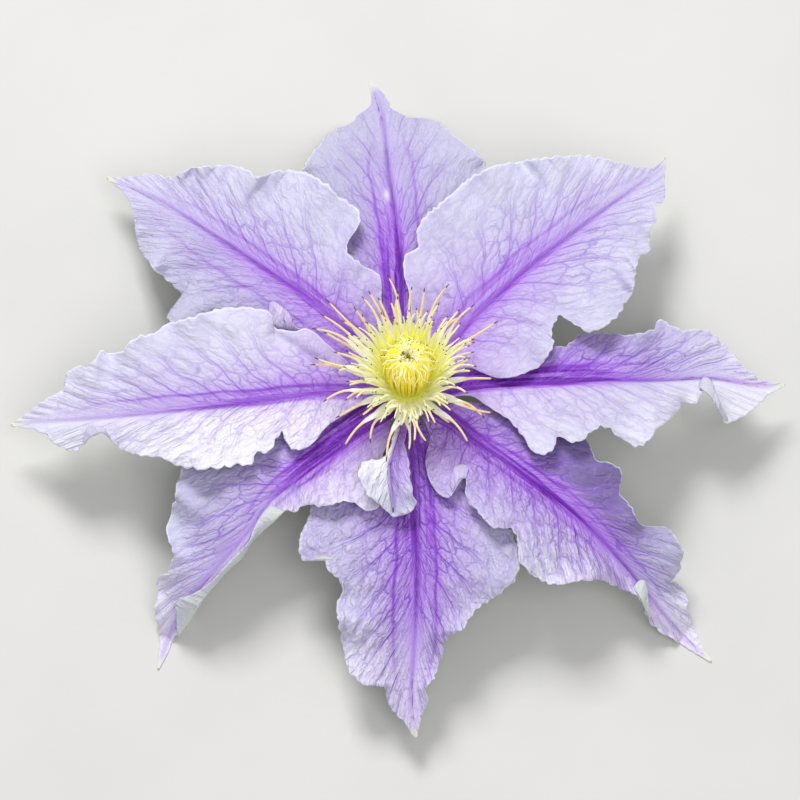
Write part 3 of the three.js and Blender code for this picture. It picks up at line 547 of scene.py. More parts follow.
class HalfBlade:
    """The half of a blade on one side of its rib, 1 for ccw and -1 for cw, as a grid of spots."""

    def __init__(self, shape, side, tooth, seed, rows, columns):
        self.shape, self.side, self.seed = shape, side, seed
        self.traits = {trait: shape[trait][side < 0] for trait in SIDE_TRAITS}
        self.over = self.traits["lies"] == "over"
        self.rib = rib = Path(shape["rib"])
        t = np.linspace(0, 1, rows + 1)
        across = np.linspace(0, 1, columns + 1) ** CROWDING
        self.along = t[:, None]
        self.v = v = (across[::-1] if side > 0 else across[1:])[None, :]
        on_rib, out = rib.along(t), outward(rib, t, side)
        edge_x, edge_y, self.lift, bulge = Margin(shape["ccw" if side > 0 else "cw"], rib, side).at(t)
        self.width = np.hypot(edge_x - on_rib[:, 0], edge_y - on_rib[:, 1])
        edge_x, edge_y, self.run = toothed(edge_x, edge_y, t, tooth * side, seed + side)
        belly = 2 * v * (1 - v) * bulge[:, None]
        self.x = spread_out(on_rib[:, 0], edge_x, v) + out[:, :1] * belly
        self.y = spread_out(on_rib[:, 1], edge_y, v) + out[:, 1:] * belly
        self.half = np.abs(Course(rib).of(self.x, self.y)[1])
        run_by, off_by = Course(rib, VEIN_CALM).of(self.x, self.y)
        fan = run_by / (1 + VEIN_FAN * (np.abs(off_by) / rib.length) ** VEIN_BEND) / VEIN_SPACING
        wander = ripples(run_by, off_by, WANDER_LENGTH, seed + 5)
        self.fan = fan + VEIN_WANDER * wander + 0.5 * (side > 0)

    def seen(self, thickness, crinkle):
        """The grid as the eye sees it, with its heights."""
        rib_height = Path([(z,) for z in self.shape["heights"]], even=True).at(self.along[:, 0])
        height = self.lying() + crinkle * self.puckers()
        for start, end, rise, half_width in self.shape.get("creases", ()):
            away = off_segment(self.x, self.y, start, end)
            height = height + rise * np.exp(-(away / half_width) ** 2)
        height = np.maximum(BASE_HEIGHT + rib_height + height, thickness / 2)
        return np.stack([self.x, self.y, height], axis=-1)

    def fading(self):
        """The ruffles fade at both ends of the blade."""
        return smoothstep(self.along, 0.1, 0.3) * (1 - smoothstep(self.along, 0.8, 0.97))

    def free(self):
        """How free the margin is of the neighbouring tepal."""
        return smoothstep(self.along, 0.4, 0.65)

    def lying(self):
        """The height above the rib: the roll to the margin, the channel, and the ruffles."""
        along, v = self.along, self.v
        roll = (OVER_ROLL if self.over else UNDER_ROLL) * np.minimum(self.width, ROLL_REACH)[:, None] * v
        channel = CHANNEL_DEPTH * smoothstep(along, 0, 0.2) * (1 - smoothstep(v, 0, 0.3))
        channel = channel * (1 - along) ** 1.5
        size = lerp(INNER_RUFFLE if self.over else 0, OUTER_RUFFLE, self.free()) * self.fading()
        turn = 2 * math.pi * self.rib.length * along / RUFFLE_LENGTH
        turn = turn + self.shape["wave"] + (0 if self.over else 2)
        wave = size * min(self.rib.length / FULL_RUFFLE_RIB, 1) * np.sin(turn)
        return self.shape["level"] * LEVEL_STEP + roll - channel + (self.lift[:, None] + wave) * v * v

    def puckers(self):
        """The quilting between the side veins, the frill of the margin and the fine pleats."""
        along, v, half = self.along, self.v, self.half
        quilted = -np.cos(2 * math.pi * self.fan) * smoothstep(v, 0.15, 0.5)
        quilted = quilted * smoothstep(along, 0.05, 0.2) * min(self.traits["veins"], 1)
        frill = ripples(self.run[:, None], 4 * v, FRILL_LENGTH, self.seed + 7) * v ** 3
        pleats = ripples(self.fan * VEIN_SPACING, half * 0.2, PLEAT, self.seed + 9)
        pleats = pleats * smoothstep(half, 2, 9)
        return quilted * 0.4 + frill * (0.6 + 0.9 * self.free()) * self.fading() + pleats * 0.2

    def values(self):
        """What the finish reads from the mesh."""
        shape, traits, along, half = self.shape, self.traits, self.along, self.half
        spread = (1 - np.exp(-along / 0.2)) * (1 - 0.85 * smoothstep(along, 0.7, 0.98))
        bar = traits["bar"] * (1.15 - 0.85 * along)
        fade_start, fade_end = shape["fade"]
        strength = shape["blush"] * (1 - 0.9 * smoothstep(along, fade_start, fade_end))
        long_fade = 1 - smoothstep(along, fade_start + 0.2, fade_end + 0.1)
        # The tip's own paleness together with painted light on the drooping tip; both are taken off the
        # painted shade
        pale = shape.get("pale_tip", 0) * smoothstep(along, shape.get("pale_from", 0.6), 0.95)
        near = 1 - smoothstep(half, 0, 15)
        core_share, glow_width = 0.66, 2.6
        core, glow = (np.exp(-(half / width) ** 2) for width in (bar, bar * glow_width))
        own = {
            "along": along, "across": self.side * half, "to_margin": self.v, "fan": self.fan,
            "long_vein": half - (traits["long_veins"] or -10) * spread,
            "bar": strength * lerp(glow, core, core_share),
            # Painted shade where this side lies in the shade of other tepals, strongest near the claw; a
            # negative amount paints light
            "dusk": traits["dusk"] * (1.3 - 1.4 * along) - pale,
            "wash": (traits["wash"] * (0.35 + 0.65 * near) * (1.1 - 0.8 * along)
                     + 0.14 * (1 - smoothstep(along, 0.1, 0.42))),
            "crepe": traits["crepe"],
            "veins": traits["veins"],
            "long_strength": traits["long_strength"] * long_fade,
            "tip": shape.get("pointed", True) * smoothstep(along, 0.95, 1.0),
            # A painted glint
            "spot": sum(np.exp(-((self.x - px) / rx) ** 2 - ((self.y - py) / ry) ** 2)
                        for px, py, rx, ry in shape.get("spots", ())),
        }
        return {name: np.broadcast_to(value, half.shape) for name, value in own.items()}


def blade(shape, thickness, tooth, crinkle, seed, rows=280, columns=34):
    """Vertices, faces and values of a blade from its outlines, of an even thickness and closed."""
    halves = [HalfBlade(shape, side, tooth, seed, rows, columns) for side in (1, -1)]
    seen = np.concatenate([half.seen(thickness, crinkle) for half in halves], axis=1)
    left, right = (half.values() for half in halves)
    values = {name: np.concatenate([left[name], right[name]], axis=1) for name in left}
    grid = carried(*np.moveaxis(seen, -1, 0))
    values["pitch"] = phase_pitch(grid, values["fan"])
    sheets = [thickened(grid, thickness, values)]
    for flap in shape.get("turned", ()):
        sheets.append(turned_margin(flap, seen.reshape(-1, 3), thickness))
    return gathered(sheets)


def off_segment(x, y, start, end):
    """How far points are from the segment between two points."""
    ahead = np.subtract(end, start)
    share = ((x - start[0]) * ahead[0] + (y - start[1]) * ahead[1]) / (ahead @ ahead)
    share = np.clip(share, 0, 1)
    return np.hypot(x - start[0] - ahead[0] * share, y - start[1] - ahead[1] * share)


def phase_pitch(grid, phase):
    """How many millimetres of the surface there are to one turn of the phase."""
    across, along = np.gradient(grid, axis=1), np.gradient(grid, axis=0)
    f_across, f_along = np.gradient(phase, axis=1), np.gradient(phase, axis=0)
    cc, aa, ca = (across * across).sum(-1), (along * along).sum(-1), (across * along).sum(-1)
    square = aa * f_across ** 2 - 2 * ca * f_across * f_along + cc * f_along ** 2
    steep = square / np.maximum(cc * aa - ca * ca, 1e-9)
    return np.clip(1 / np.sqrt(np.maximum(steep, 1e-9)), 1, 20)


def turned_margin(flap, seen, thickness, rows=44, columns=8):
    """A strip of margin that is rolled up and over, so that its underside shows."""
    curl, clearance, thinner = 0.62, 0.1, 0.7
    share = np.linspace(0, 1, rows + 1)
    outer, inner = Path(flap["outer"]).along(share), Path(flap["inner"]).along(share)
    low, high = (nearest_height(seen, line) for line in (outer, inner))
    v = np.linspace(0, 1, columns + 1)[None, :]
    spot = outer[:, None] + (inner - outer)[:, None] * v[..., None]
    full = np.sin(math.pi * share)[:, None] ** 0.5
    rise = (high - low)[:, None] * v + flap["lift"] * full * np.sin(math.pi * v * curl)
    height = np.maximum(low[:, None] + rise + clearance, thickness / 2)
    grid = carried(spot[..., 0], spot[..., 1], height)
    run = np.concatenate([[0], np.cumsum(np.linalg.norm(np.diff(outer, axis=0), axis=1))])[:, None]
    values = {
        "along": 0.5, "across": 9, "to_margin": 0.3 + 0.69 * v, "fan": run / VEIN_SPACING,
        # Painted shade on the turned strip; a negative amount paints light
        "long_vein": 5, "bar": 0, "dusk": flap.get("dusk", 0), "crepe": flap.get("crepe", 0.5),
        "wash": flap.get("wash", 0.1), "veins": 0.3, "long_strength": 0, "tip": 0, "spot": 0,
        "pitch": VEIN_SPACING,
    }
    return thickened(grid, thickness * thinner, values, green=(flap["green"], 0.0))


def nearest_height(seen, line, reach=0.6):
    """The height of the highest layer of a blade beneath each point of a line."""
    away = (seen[None, :, 0] - line[:, :1]) ** 2 + (seen[None, :, 1] - line[:, 1:2]) ** 2
    highest = np.where(away < reach ** 2, seen[None, :, 2], -np.inf).max(axis=1)
    heights = np.where(np.isfinite(highest), highest, seen[np.argmin(away, axis=1), 2])
    side = 3
    width = 2 * side + 1
    return np.convolve(np.pad(heights, side, mode="edge"), np.ones(width) / width, mode="valid")


def gathered(sheets):
    """Several closed sheets as one set of vertices, faces and values."""
    starts = np.cumsum([0] + [len(vertices) for vertices, _, _ in sheets])
    faces = np.concatenate([part + start for (_, part, _), start in zip(sheets, starts)])
    values = {name: np.concatenate([value[name] for _, _, value in sheets]) for name in sheets[0][2]}
    return np.concatenate([vertices for vertices, _, _ in sheets]), faces, values


def thickened(grid, thickness, values, green=(0.0, 1.0)):
    """A closed sheet round a grid of points, and how green its upper and its lower side are."""
    rows, columns, _ = grid.shape
    normal = np.cross(np.gradient(grid, axis=1), np.gradient(grid, axis=0))
    normal /= np.maximum(np.linalg.norm(normal, axis=2), 1e-9)[..., None]
    if normal[..., 2].mean() < 0:
        normal = -normal
    lying = grid[..., 2] <= thickness / 2 + 1e-6
    normal[lying] = UP
    rim = np.minimum(np.arange(columns), np.arange(columns)[::-1])
    half = thickness / 2 * np.interp(rim, [0, 1, 2], THINNING_RIM)[None, :, None]
    vertices = np.concatenate([grid + normal * half, grid - normal * half]).reshape(-1, 3)
    low, high = (np.array(corner) / MM - AXIS for corner in CAD_BOX)
    vertices = np.clip(vertices, low, high)
    under = rows * columns
    i, j = np.meshgrid(np.arange(rows - 1), np.arange(columns - 1), indexing="ij")
    a = (i * columns + j).ravel()
    top = np.stack([a, a + 1, a + columns + 1, a + columns], axis=1)
    faces = [top, top[:, ::-1] + under]
    ring = np.concatenate([
        np.arange(columns - 1), np.arange(rows - 1) * columns + columns - 1,
        (rows - 1) * columns + np.arange(columns - 1, 0, -1), np.arange(rows - 1, 0, -1) * columns])
    after = np.roll(ring, -1)
    faces.append(np.stack([ring + under, after + under, after, ring], axis=1))
    spread = {name: np.tile(np.broadcast_to(value, (rows, columns)).ravel(), 2)
              for name, value in values.items()}
    spread["underside"] = np.repeat(green, under)
    faces = np.concatenate(faces)
    corners = vertices[faces]
    inside_out = np.einsum("ij,ij->i", corners[:, 0], np.cross(
        corners[:, 1] - corners[:, 3], corners[:, 2] - corners[:, 0])).sum() < 0
    return vertices, faces[:, ::-1] if inside_out else faces, spread


# Meshes


def face_outward(mesh):
    """Smooth shading, and all normals outward."""
    mesh.shade_smooth()
    mesh.calc_loop_triangles()
    corners = np.zeros(len(mesh.loop_triangles) * 3, np.int32)
    mesh.loop_triangles.foreach_get("vertices", corners)
    spots = np.zeros(len(mesh.vertices) * 3, np.float32)
    mesh.vertices.foreach_get("co", spots)
    a, b, c = spots.reshape(-1, 3)[corners].astype(float).reshape(-1, 3, 3).transpose(1, 0, 2)
    volume = np.einsum("ij,ij->i", a, np.cross(b, c)).sum()
    if volume < 0:
        mesh.flip_normals()


def store(mesh, name, kind, values):
    attribute = mesh.attributes.new(name, kind, "POINT")
    field = "vector" if kind == "FLOAT_VECTOR" else "value"
    attribute.data.foreach_set(field, np.asarray(values, np.float32).ravel())


def mesh_piece(name, vertices, faces, values=None, edges=()):
    """An object of these vertices, given in the bloom's millimetres, in its place in the row frame."""
    mesh = bpy.data.meshes.new(name)
    mesh.from_pydata((np.asarray(vertices) + AXIS) * MM, edges, faces)
    for label, value in (values or {}).items():
        store(mesh, label, "FLOAT_VECTOR" if np.ndim(value) == 2 else "FLOAT", value)
    if len(faces):
        face_outward(mesh)
    piece = bpy.data.objects.new(name, mesh)
    bpy.context.scene.collection.objects.link(piece)
    return piece


def joined(pieces, name):
    with bpy.context.temp_override(active_object=pieces[0], selected_editable_objects=pieces):
        bpy.ops.object.join()
    pieces[0].name = name
    return pieces[0]


def settle(piece, slot, *nodes):
    """The piece rides on the bloom and stands for these CAD nodes; slot is not used."""
    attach(piece, "root")
    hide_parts(*nodes)


def lathe(name, profile, turns=48):
    """A closed solid of revolution round the bloom's axis, from (radius, height) points."""
    spin = np.linspace(0, 2 * math.pi, turns, endpoint=False)
    profile = np.asarray(profile, float)
    inner = profile[1:-1]
    rings = np.stack([inner[:, :1] * np.cos(spin), inner[:, :1] * np.sin(spin),
                      inner[:, 1:] + 0 * spin], axis=2).reshape(-1, 3)
    poles = [[0, 0, profile[0, 1]], [0, 0, profile[-1, 1]]]
    vertices = np.concatenate([rings, poles])
    bottom, top = len(rings), len(rings) + 1
    faces = []
    for k in range(turns):
        after = (k + 1) % turns
        faces.append((bottom, after, k))
        for ring in range(len(inner) - 1):
            low = ring * turns
            faces.append((low + k, low + after, low + turns + after, low + turns + k))
        last = (len(inner) - 1) * turns
        faces.append((last + k, last + after, top))
    return mesh_piece(name, vertices, faces)


# Node trees, written as sums


class Wire:
    """One output of a node, so that the maths of a pattern reads as ordinary sums."""

    def __init__(self, board, socket):
        self.board = board
        self.socket = socket

    def _math(self, operation, *values, **settings):
        node = self.board.add("ShaderNodeMath", {"operation": operation, **settings},
                              dict(enumerate(values)))
        return Wire(self.board, node.outputs[0])

    def _with(self, operation, *others, **settings):
        return self._math(operation, self, *others, **settings)

    __add__ = __radd__ = partialmethod(_with, "ADD")
    __sub__ = partialmethod(_with, "SUBTRACT")
    __mul__ = __rmul__ = partialmethod(_with, "MULTIPLY")
    __abs__ = partialmethod(_with, "ABSOLUTE")
    floor = partialmethod(_with, "FLOOR")
    at_least = partialmethod(_with, "MAXIMUM")
    at_most = partialmethod(_with, "MINIMUM")
    clamped = partialmethod(_with, "ADD", 0.0, use_clamp=True)

    def __rsub__(self, other):
        return self._math("SUBTRACT", other, self)


class Board:
    """A node tree that is being built."""

    def __init__(self, tree):
        self.tree = tree

    def add(self, kind, settings=None, feeds=None):
        """A new node: its settings are made first, then its sockets get values or wires."""
        node = self.tree.nodes.new(kind)
        for name, value in (settings or {}).items():
            if name == "bends":
                self._bends(node.mapping, value)
            else:
                setattr(node, name, value)
        for key, value in (feeds or {}).items():
            if isinstance(value, Wire):
                self.tree.links.new(value.socket, node.inputs[key])
            else:
                node.inputs[key].default_value = value
        return node

    def wire(self, kind, settings=None, feeds=None, output=0):
        return Wire(self, self.add(kind, settings, feeds).outputs[output])

    @staticmethod
    def _bends(mapping, bends):
        curve = mapping.curves[0]
        while len(curve.points) < len(bends):
            curve.points.new(0.5, 0.5)
        for point, (place, level) in zip(curve.points, bends):
            point.location = (place, level)
            point.handle_type = "AUTO"
        mapping.update()

    # Patterns

    def value(self, name):
        """A number stored on the mesh under this name."""
        return self.wire("ShaderNodeAttribute", {"attribute_name": name}, output="Fac")

    def millimetres(self):
        """The object's own coordinates, in millimetres."""
        place = self.wire("ShaderNodeTexCoord", output="Object")
        return self.scaled(place, 1 / MM)

    def vectors(self, operation, *values):
        return self.wire("ShaderNodeVectorMath", {"operation": operation}, dict(enumerate(values)))

    def scaled(self, vector, factor):
        return self.wire("ShaderNodeVectorMath", {"operation": "SCALE"}, {0: vector, "Scale": factor})

    def moved(self, vector, shift):
        return self.vectors("ADD", vector, shift)

    def vector(self, x, y, z=0.0):
        return self.wire("ShaderNodeCombineXYZ", feeds={0: x, 1: y, 2: z})

    def noise(self, vector, scale, detail=2.0, roughness=0.5, output="Fac"):
        return self.wire("ShaderNodeTexNoise", feeds={
            "Vector": vector, "Scale": scale, "Detail": detail, "Roughness": roughness}, output=output)

    def lot(self, value, salt=0.0):
        """A random number from 0 to 1 that is the same for the same value."""
        return self.wire("ShaderNodeTexWhiteNoise", {"noise_dimensions": "2D"}, {
            "Vector": self.vector(value, salt)}, output="Value")

    def smooth(self, value, low, high, start=0.0, end=1.0):
        """A soft step from start to end while the value goes from low to high."""
        return self.wire("ShaderNodeMapRange", {"interpolation_type": "SMOOTHSTEP"}, {
            "Value": value, "From Min": low, "From Max": high, "To Min": start, "To Max": end})

    def line(self, gap, width):
        """A soft line, from 1 where the gap is nothing to 0 at this width."""
        return self.smooth(gap, 0.0, width, 1.0, 0.0)

    def ramp(self, value, start):
        """Rises evenly from 0 at the start to 1 where the value is 1."""
        return self.wire("ShaderNodeMapRange", feeds={
            "Value": value, "From Min": start, "From Max": 1.0, "To Min": 0.0, "To Max": 1.0})

    def cells(self, place, scale):
        """Uneven cells: how far it is to the nearest line between two of them."""
        return self.wire("ShaderNodeTexVoronoi", {
            "feature": "DISTANCE_TO_EDGE", "voronoi_dimensions": "2D"}, {"Vector": place, "Scale": scale})

    def mix(self, share, first, second):
        """One colour at a share of 0, the other at 1."""
        return self.wire("ShaderNodeMix", {"data_type": "RGBA"},
                         {"Factor": share, 6: first, 7: second}, output=2)

    def layered(self, colour, *layers):
        """A colour with others laid over it in turn, each given as (how much of it shows, colour)."""
        for share, layer in layers:
            colour = self.mix(share, colour, layer)
        return colour


def finish_board(name):
    """A new material and the board of its nodes, emptied."""
    material = bpy.data.materials.new(name)
    material.use_nodes = True
    material.node_tree.nodes.clear()
    return material, Board(material.node_tree)


def shade(board, colour, roughness, bump, settings):
    """The shader at the end of a material. bump is (height, millimetres)."""
    height, depth = bump
    normal = board.wire("ShaderNodeBump", feeds={
        "Height": height, "Distance": depth * MM, "Strength": 1.0})
    shader = board.wire("ShaderNodeBsdfPrincipled", feeds={
        "Base Color": colour, "Roughness": roughness, "Normal": normal, **settings})
    board.add("ShaderNodeOutputMaterial", feeds={"Surface": shader})


def soaked(weight, *radii):
    """Shader values for a piece that light soaks into, this far for red, green and blue."""
    return {"Subsurface Weight": weight, "Subsurface Radius": radii, "Subsurface Scale": MM}


def painted_glow(colour, strength):
    """Shader values for a painted glow: a faint emission in the piece's own colour that lightens its shade,
    standing in for light that shines through thin pieces.
    """
    return {"Emission Color": colour, "Emission Strength": strength}


def srgb(red, green, blue):
    """A colour as it looks on a screen, from 0 to 255, as Blender's linear colour."""
    channels = [c / 255 for c in (red, green, blue)]
    linear = [c / 12.92 if c <= 0.04045 else ((c + 0.055) / 1.055) ** 2.4 for c in channels]
    return (*linear, 1.0)


# Settings


def length(label, about, millimetres):
    return bpy.props.FloatProperty(
        name=label, description=about, default=millimetres * MM, min=0, soft_max=0.1, precision=5,
        subtype="DISTANCE", unit="LENGTH")


def tint(label, about, red, green, blue):
    return bpy.props.FloatVectorProperty(
        name=label, description=about, default=srgb(red, green, blue), size=4, min=0, max=1,
        subtype="COLOR")


class ClematisSizes(bpy.types.PropertyGroup):
    """Sizes of the bloom's pieces"""

    blade: length("Blade", "Thickness of a tepal", 0.3)
    tooth: length("Tooth", "Size of the small teeth along a tepal's margin", 0.42)
    crinkle: length("Crinkle", "Depth of the blade's puckers between its veins", 0.35)
    filament: length("Filament", "Width of a stamen's filament where it is widest", 1.6)
    filament_depth: length("Filament depth", "Thickness of a stamen", 0.55)
    style: length("Style", "Width of a style", 0.68)
    thread: length("Thread", "Width of a style's silky end", 0.3)
    stalk: length("Stalk", "Radius of the cut stalk", 1.35)
    hair: length("Hair", "Length of the hairs on the stalk", 0.7)


class ClematisColours(bpy.types.PropertyGroup):
    """Colours of the bloom's pieces"""

    pale: tint("Pale", "Tepals where they are lightest", 206, 208, 226)
    # Also paints the shade in the hollows of the pleats
    lilac: tint("Lilac", "Tepals in the shade of their veins", 170, 150, 209)
    dusky: tint("Dusky", "Tepals where they lie in the shade of others", 112, 102, 146)
    # Painted shade where tepals lie in the shade of others
    glow: tint("Glow", "The wide glow round the bar", 184, 144, 230)
    violet: tint("Violet", "The bar along a tepal's rib", 142, 54, 204)
    deep: tint("Deep violet", "The darkest stripes of the bar", 98, 4, 150)
    vein: tint("Vein", "Side veins of the tepals", 120, 94, 184)
    deep_vein: tint("Long vein", "The long veins on each side of the rib", 122, 54, 190)
    # Also paints the highlights on the pleats and puckers, the lit edges of the margins and the glints
    rim: tint("Rim", "The tepals' margins and highest folds", 244, 243, 251)
    tip: tint("Tip", "The points of the tepals", 226, 231, 204)
    under: tint("Underside", "The tepals from below", 208, 216, 204)
    under_rib: tint("Underside rib", "The three ribs below a tepal", 168, 184, 120)
    filament: tint("Filament", "Stamens below their anthers", 253, 254, 234)
    inner: tint("Inner stamen", "Stamens next to the styles", 255, 252, 110)
    anther: tint("Anther", "Anthers of the outer stamens", 246, 214, 156)
    anther_tip: tint("Anther tip", "The dark tips of the anthers", 58, 40, 38)
    root: tint("Root", "Roots of the stamens", 242, 246, 116)
    # Painted shade along the sides of the filaments, where they lie against each other
    edge: tint("Edge", "Edges of the filaments", 206, 210, 112)
    gold: tint("Gold", "Sides of the styles", 255, 238, 40)
    # Painted shade on the styles' lower halves
    ochre: tint("Ochre", "The styles' lower halves, in the shade of the others", 186, 156, 10)
    foot: tint("Foot", "Feet of the styles", 226, 228, 84)
    # Painted shade: the colour of the threads that stand for the dark gaps between the silky ends
    dark: tint("Dark", "The dark gaps in the middle of the head", 84, 62, 16)
    thread: tint("Thread", "Silky ends of the styles", 255, 255, 206)
    stalk: tint("Stalk", "The cut stalk", 122, 148, 66)
    blotch: tint("Blotch", "Paler blotches of the stalk", 150, 160, 88)
    russet: tint("Russet", "Reddish flecks of the stalk", 118, 78, 72)
    floor: tint("Floor", "The surface under the bloom", 218, 217, 214)
    mottle: tint("Mottle", "Faint mottles of the floor", 210, 210, 208)


# Finishes


class TepalPattern:
    """The patterns of a tepal, each from 0 to about 1, from what its mesh stores for every spot."""

    def __init__(self, board):
        self.board = board
        self.place = board.millimetres()
        self.along, self.across = board.value("along"), board.value("across")
        self.to_margin, self.pitch = board.value("to_margin"), board.value("pitch")
        self.half = abs(self.across)
        self.drift = board.noise(self.place, 0.11, 1.0)
        self.fan = (board.value("fan") + (self.drift - 0.5) * 0.35
                    + (board.noise(self.place, 0.3, 1.0) - 0.5) * 0.2)
        self.toward_tip = board.smooth(self.along, 0.45, 0.95)
        self.near_rib = board.smooth(self.half, 0.0, 15.0, 1.0, 0.0) * (1 - self.toward_tip)
        self.at_margin = board.smooth(self.to_margin, 0.3, 0.95) * board.smooth(self.half, 2.5, 11.0)
        self.veined = board.value("veins") * (1 - self.toward_tip * 0.2)
        self.draw_side_veins()
        self.draw_net()
        self.draw_long_veins()
        self.draw_bar()
        self.draw_relief()

    def draw_side_veins(self):
        """Veins that leave the rib one by one, each with a branch to both sides and a forked end."""
        board, fan, to_margin, pitch = self.board, self.fan, self.to_margin, self.pitch
        cell = (fan + 0.5).floor()

        def parted(salt, spread, start):
            """How far a branch has parted from its vein. Each starts at a place of its own."""
            return board.ramp(to_margin, board.lot(cell, salt) * spread + start)

        main = fan - cell - (board.lot(cell, 1.0) - 0.5) * 0.3 * to_margin
        left = abs(main - parted(2.0, 0.3, 0.06) * 0.24)
        right = abs(main + parted(3.0, 0.35, 0.12) * 0.26)
        main = abs(main)
        nearest = main.at_most(left).at_most(right)
        twig = abs(nearest - parted(4.0, 0.3, 0.35) * 0.11)
        started = board.smooth(board.value("long_vein"), -1.6, 0.6, 0.3, 1.0) * self.veined
        drawn = (1 - to_margin * 0.55) * started * board.smooth(pitch, 0.9, 2.4)
        lines = board.line(main * pitch, 0.27)
        lines = lines.at_least(board.line(nearest * pitch, 0.24) * board.smooth(pitch, 3.0, 5.0) * 0.8)
        lines = lines.at_least(board.line(twig * pitch, 0.2) * board.smooth(pitch, 5.0, 8.0) * 0.65)
        self.side_vein = lines * (drawn * (1 - self.at_margin * 0.7))
        self.side_halo = board.line(nearest * pitch, 1.5) * started

    def draw_net(self):
        """The net between the side veins, its finer meshes, and the uneven ones near the tip."""
        board, place = self.board, self.place
        bend = board.scaled(board.noise(place, 0.5, 2.0, output="Color"), 0.7)
        net_place = board.moved(board.vector(self.fan * 2.1, self.across * 0.32), bend)
        self.cells, self.small_cells = board.cells(net_place, 1.0), board.cells(net_place, 2.2)
        net = board.line(self.cells, 0.11).at_least(board.line(self.small_cells, 0.13) * 0.5)
        shift = board.scaled(board.noise(place, 0.8, 3.0, output="Color"), 2.6)
        end_cells = board.cells(board.moved(place, shift), 0.55)
        at_end = board.smooth(self.along, 0.55, 0.85)
        net = net * (1 - at_end * 0.6) + board.line(end_cells, 0.1) * at_end * 0.36
        patches = board.smooth(board.noise(place, 0.09, 1.0), 0.3, 0.62, 0.5, 1.0)
        net = net * patches * self.veined * (1 - self.at_margin * 0.6)
        self.net = net * (self.near_rib * 0.35 + self.toward_tip * 0.3 + 0.42)

    def draw_long_veins(self):
        """The rib, and the long vein on each side of it."""
        board, strength = self.board, self.board.value("long_strength")
        self.rib_line = board.line(self.half, 0.75) * board.smooth(self.along, 1.0, 0.8)
        self.long_gap = abs(board.value("long_vein") + (self.drift - 0.5) * 1.6)
        self.long_line = board.line(self.long_gap, 0.55) * strength
        self.long_halo = board.line(self.long_gap, 2.0) * strength

    def draw_bar(self):
        """The violet bar, in streaks along the rib, and the wash round it."""
        board, bar = self.board, self.board.value("bar")
        streaks = board.noise(board.vector(self.along * 2.2, self.across * 0.72), 1.6, 3.0, 0.6)
        streaks = board.smooth(streaks, 0.37, 0.63)
        halos = self.near_rib * self.side_halo * 0.14 + self.long_halo * 0.22
        stain = bar * (streaks * 0.8 + 0.52) + halos
        core = board.line(self.half, 1.6) * (bar * 2).clamped()
        self.glow = ((stain + board.value("wash")).clamped() * 1.5).clamped()
        self.bar = board.smooth(stain, 0.35, 1.0).at_least(core * 0.55)
        self.stripes = board.smooth(bar * (streaks + 0.45), 0.7, 1.3)

    def draw_relief(self):
        """The silky pleats and the puckers between the veins."""
        board = self.board
        self.crepe = board.value("crepe") * board.smooth(self.pitch, 1.0, 3.0)
        self.pleats = board.noise(board.vector(self.fan * 4.2, self.across * 0.5), 1.0, 2.0, 0.6)
        self.puckers = (board.smooth(self.cells, 0.0, 0.4)
                        + board.smooth(self.small_cells, 0.0, 0.35) * 0.5)


def tepal_above(board, seen, colours):
    """Pale lavender with a violet bar, branching side veins and a whitish rim, with painted highlights,
    shade and glints.
    """
    dusk, crepe, pleats = board.value("dusk"), seen.crepe, seen.pleats
    patches = board.smooth(board.noise(seen.place, 0.12, 3.0, 0.6), 0.35, 0.75)
    lilac = (patches * 0.3 + seen.near_rib * 0.28 - seen.toward_tip * 0.15).clamped()
    # Painted highlights on the crests of the pleats and puckers, and painted light where the painted
    # shading is negative; lighter towards the tip
    painted_highlight = (pleats - 0.5) * (0.5 + seen.to_margin * 0.6) * 1.2 + (seen.puckers - 0.9) * 0.3
    painted_highlight = (painted_highlight * crepe - dusk * 0.8 + seen.toward_tip * 0.2).clamped()
    # Painted shade in the hollows of the pleats
    painted_hollow_shade = (0.5 - pleats).clamped() * crepe * (0.5 + seen.to_margin * 0.5)
    vein = board.mix(seen.near_rib * 0.7, colours.vein, colours.deep_vein)
    # The whitish margin: its own paler edge with a painted highlight, and the painted glints
    rim = board.smooth(seen.to_margin, 0.965, 0.995) * 0.55
    return board.layered(
        colours.pale, (lilac, colours.lilac), (painted_highlight, colours.rim), (painted_hollow_shade, colours.lilac),
        # Painted shade where the blade lies in the shade of other tepals
        ((dusk * 0.42).clamped(), colours.dusky), (seen.glow, colours.glow),
        (seen.bar, colours.violet), (seen.stripes * 0.95, colours.deep),
        (seen.net.at_least(seen.side_vein * 0.88), vein),
        (seen.long_line * 0.75, colours.deep_vein), (seen.rib_line * 0.4, colours.deep_vein),
        (rim.at_least(board.value("spot") * 0.65), colours.rim),
        (board.value("tip") * 0.85, colours.tip))


def tepal_below(board, seen, colours):
    """Pale green with three greener ribs, and lavender near the margin."""
    ribs = (board.line(seen.half, 1.6) + board.line(seen.long_gap, 1.1) * 0.8).clamped()
    return board.layered(
        colours.under, (board.smooth(seen.to_margin, 0.3, 0.9) * 0.6, colours.pale),
        (ribs * (1 - seen.to_margin) * 0.75, colours.under_rib), (seen.side_vein * 0.2, colours.vein))


def tepal_finish(colours):
    """The thin silky blade of a tepal, with its two sides."""
    material, board = finish_board("tepal_petal")
    seen = TepalPattern(board)
    colour = board.mix(board.value("underside"), tepal_above(board, seen, colours),
                       tepal_below(board, seen, colours))
    relief = (seen.pleats * 0.3 + seen.puckers * 0.4) * seen.crepe
    shade(board, colour, board.smooth(seen.pleats, 0.3, 0.7, 0.42, 0.6), (relief, 0.65), {
        **soaked(0.12, 0.6, 0.45, 0.8), "Specular IOR Level": 0.24, "Sheen Weight": 0.03,
        "Sheen Roughness": 0.5})
    return material


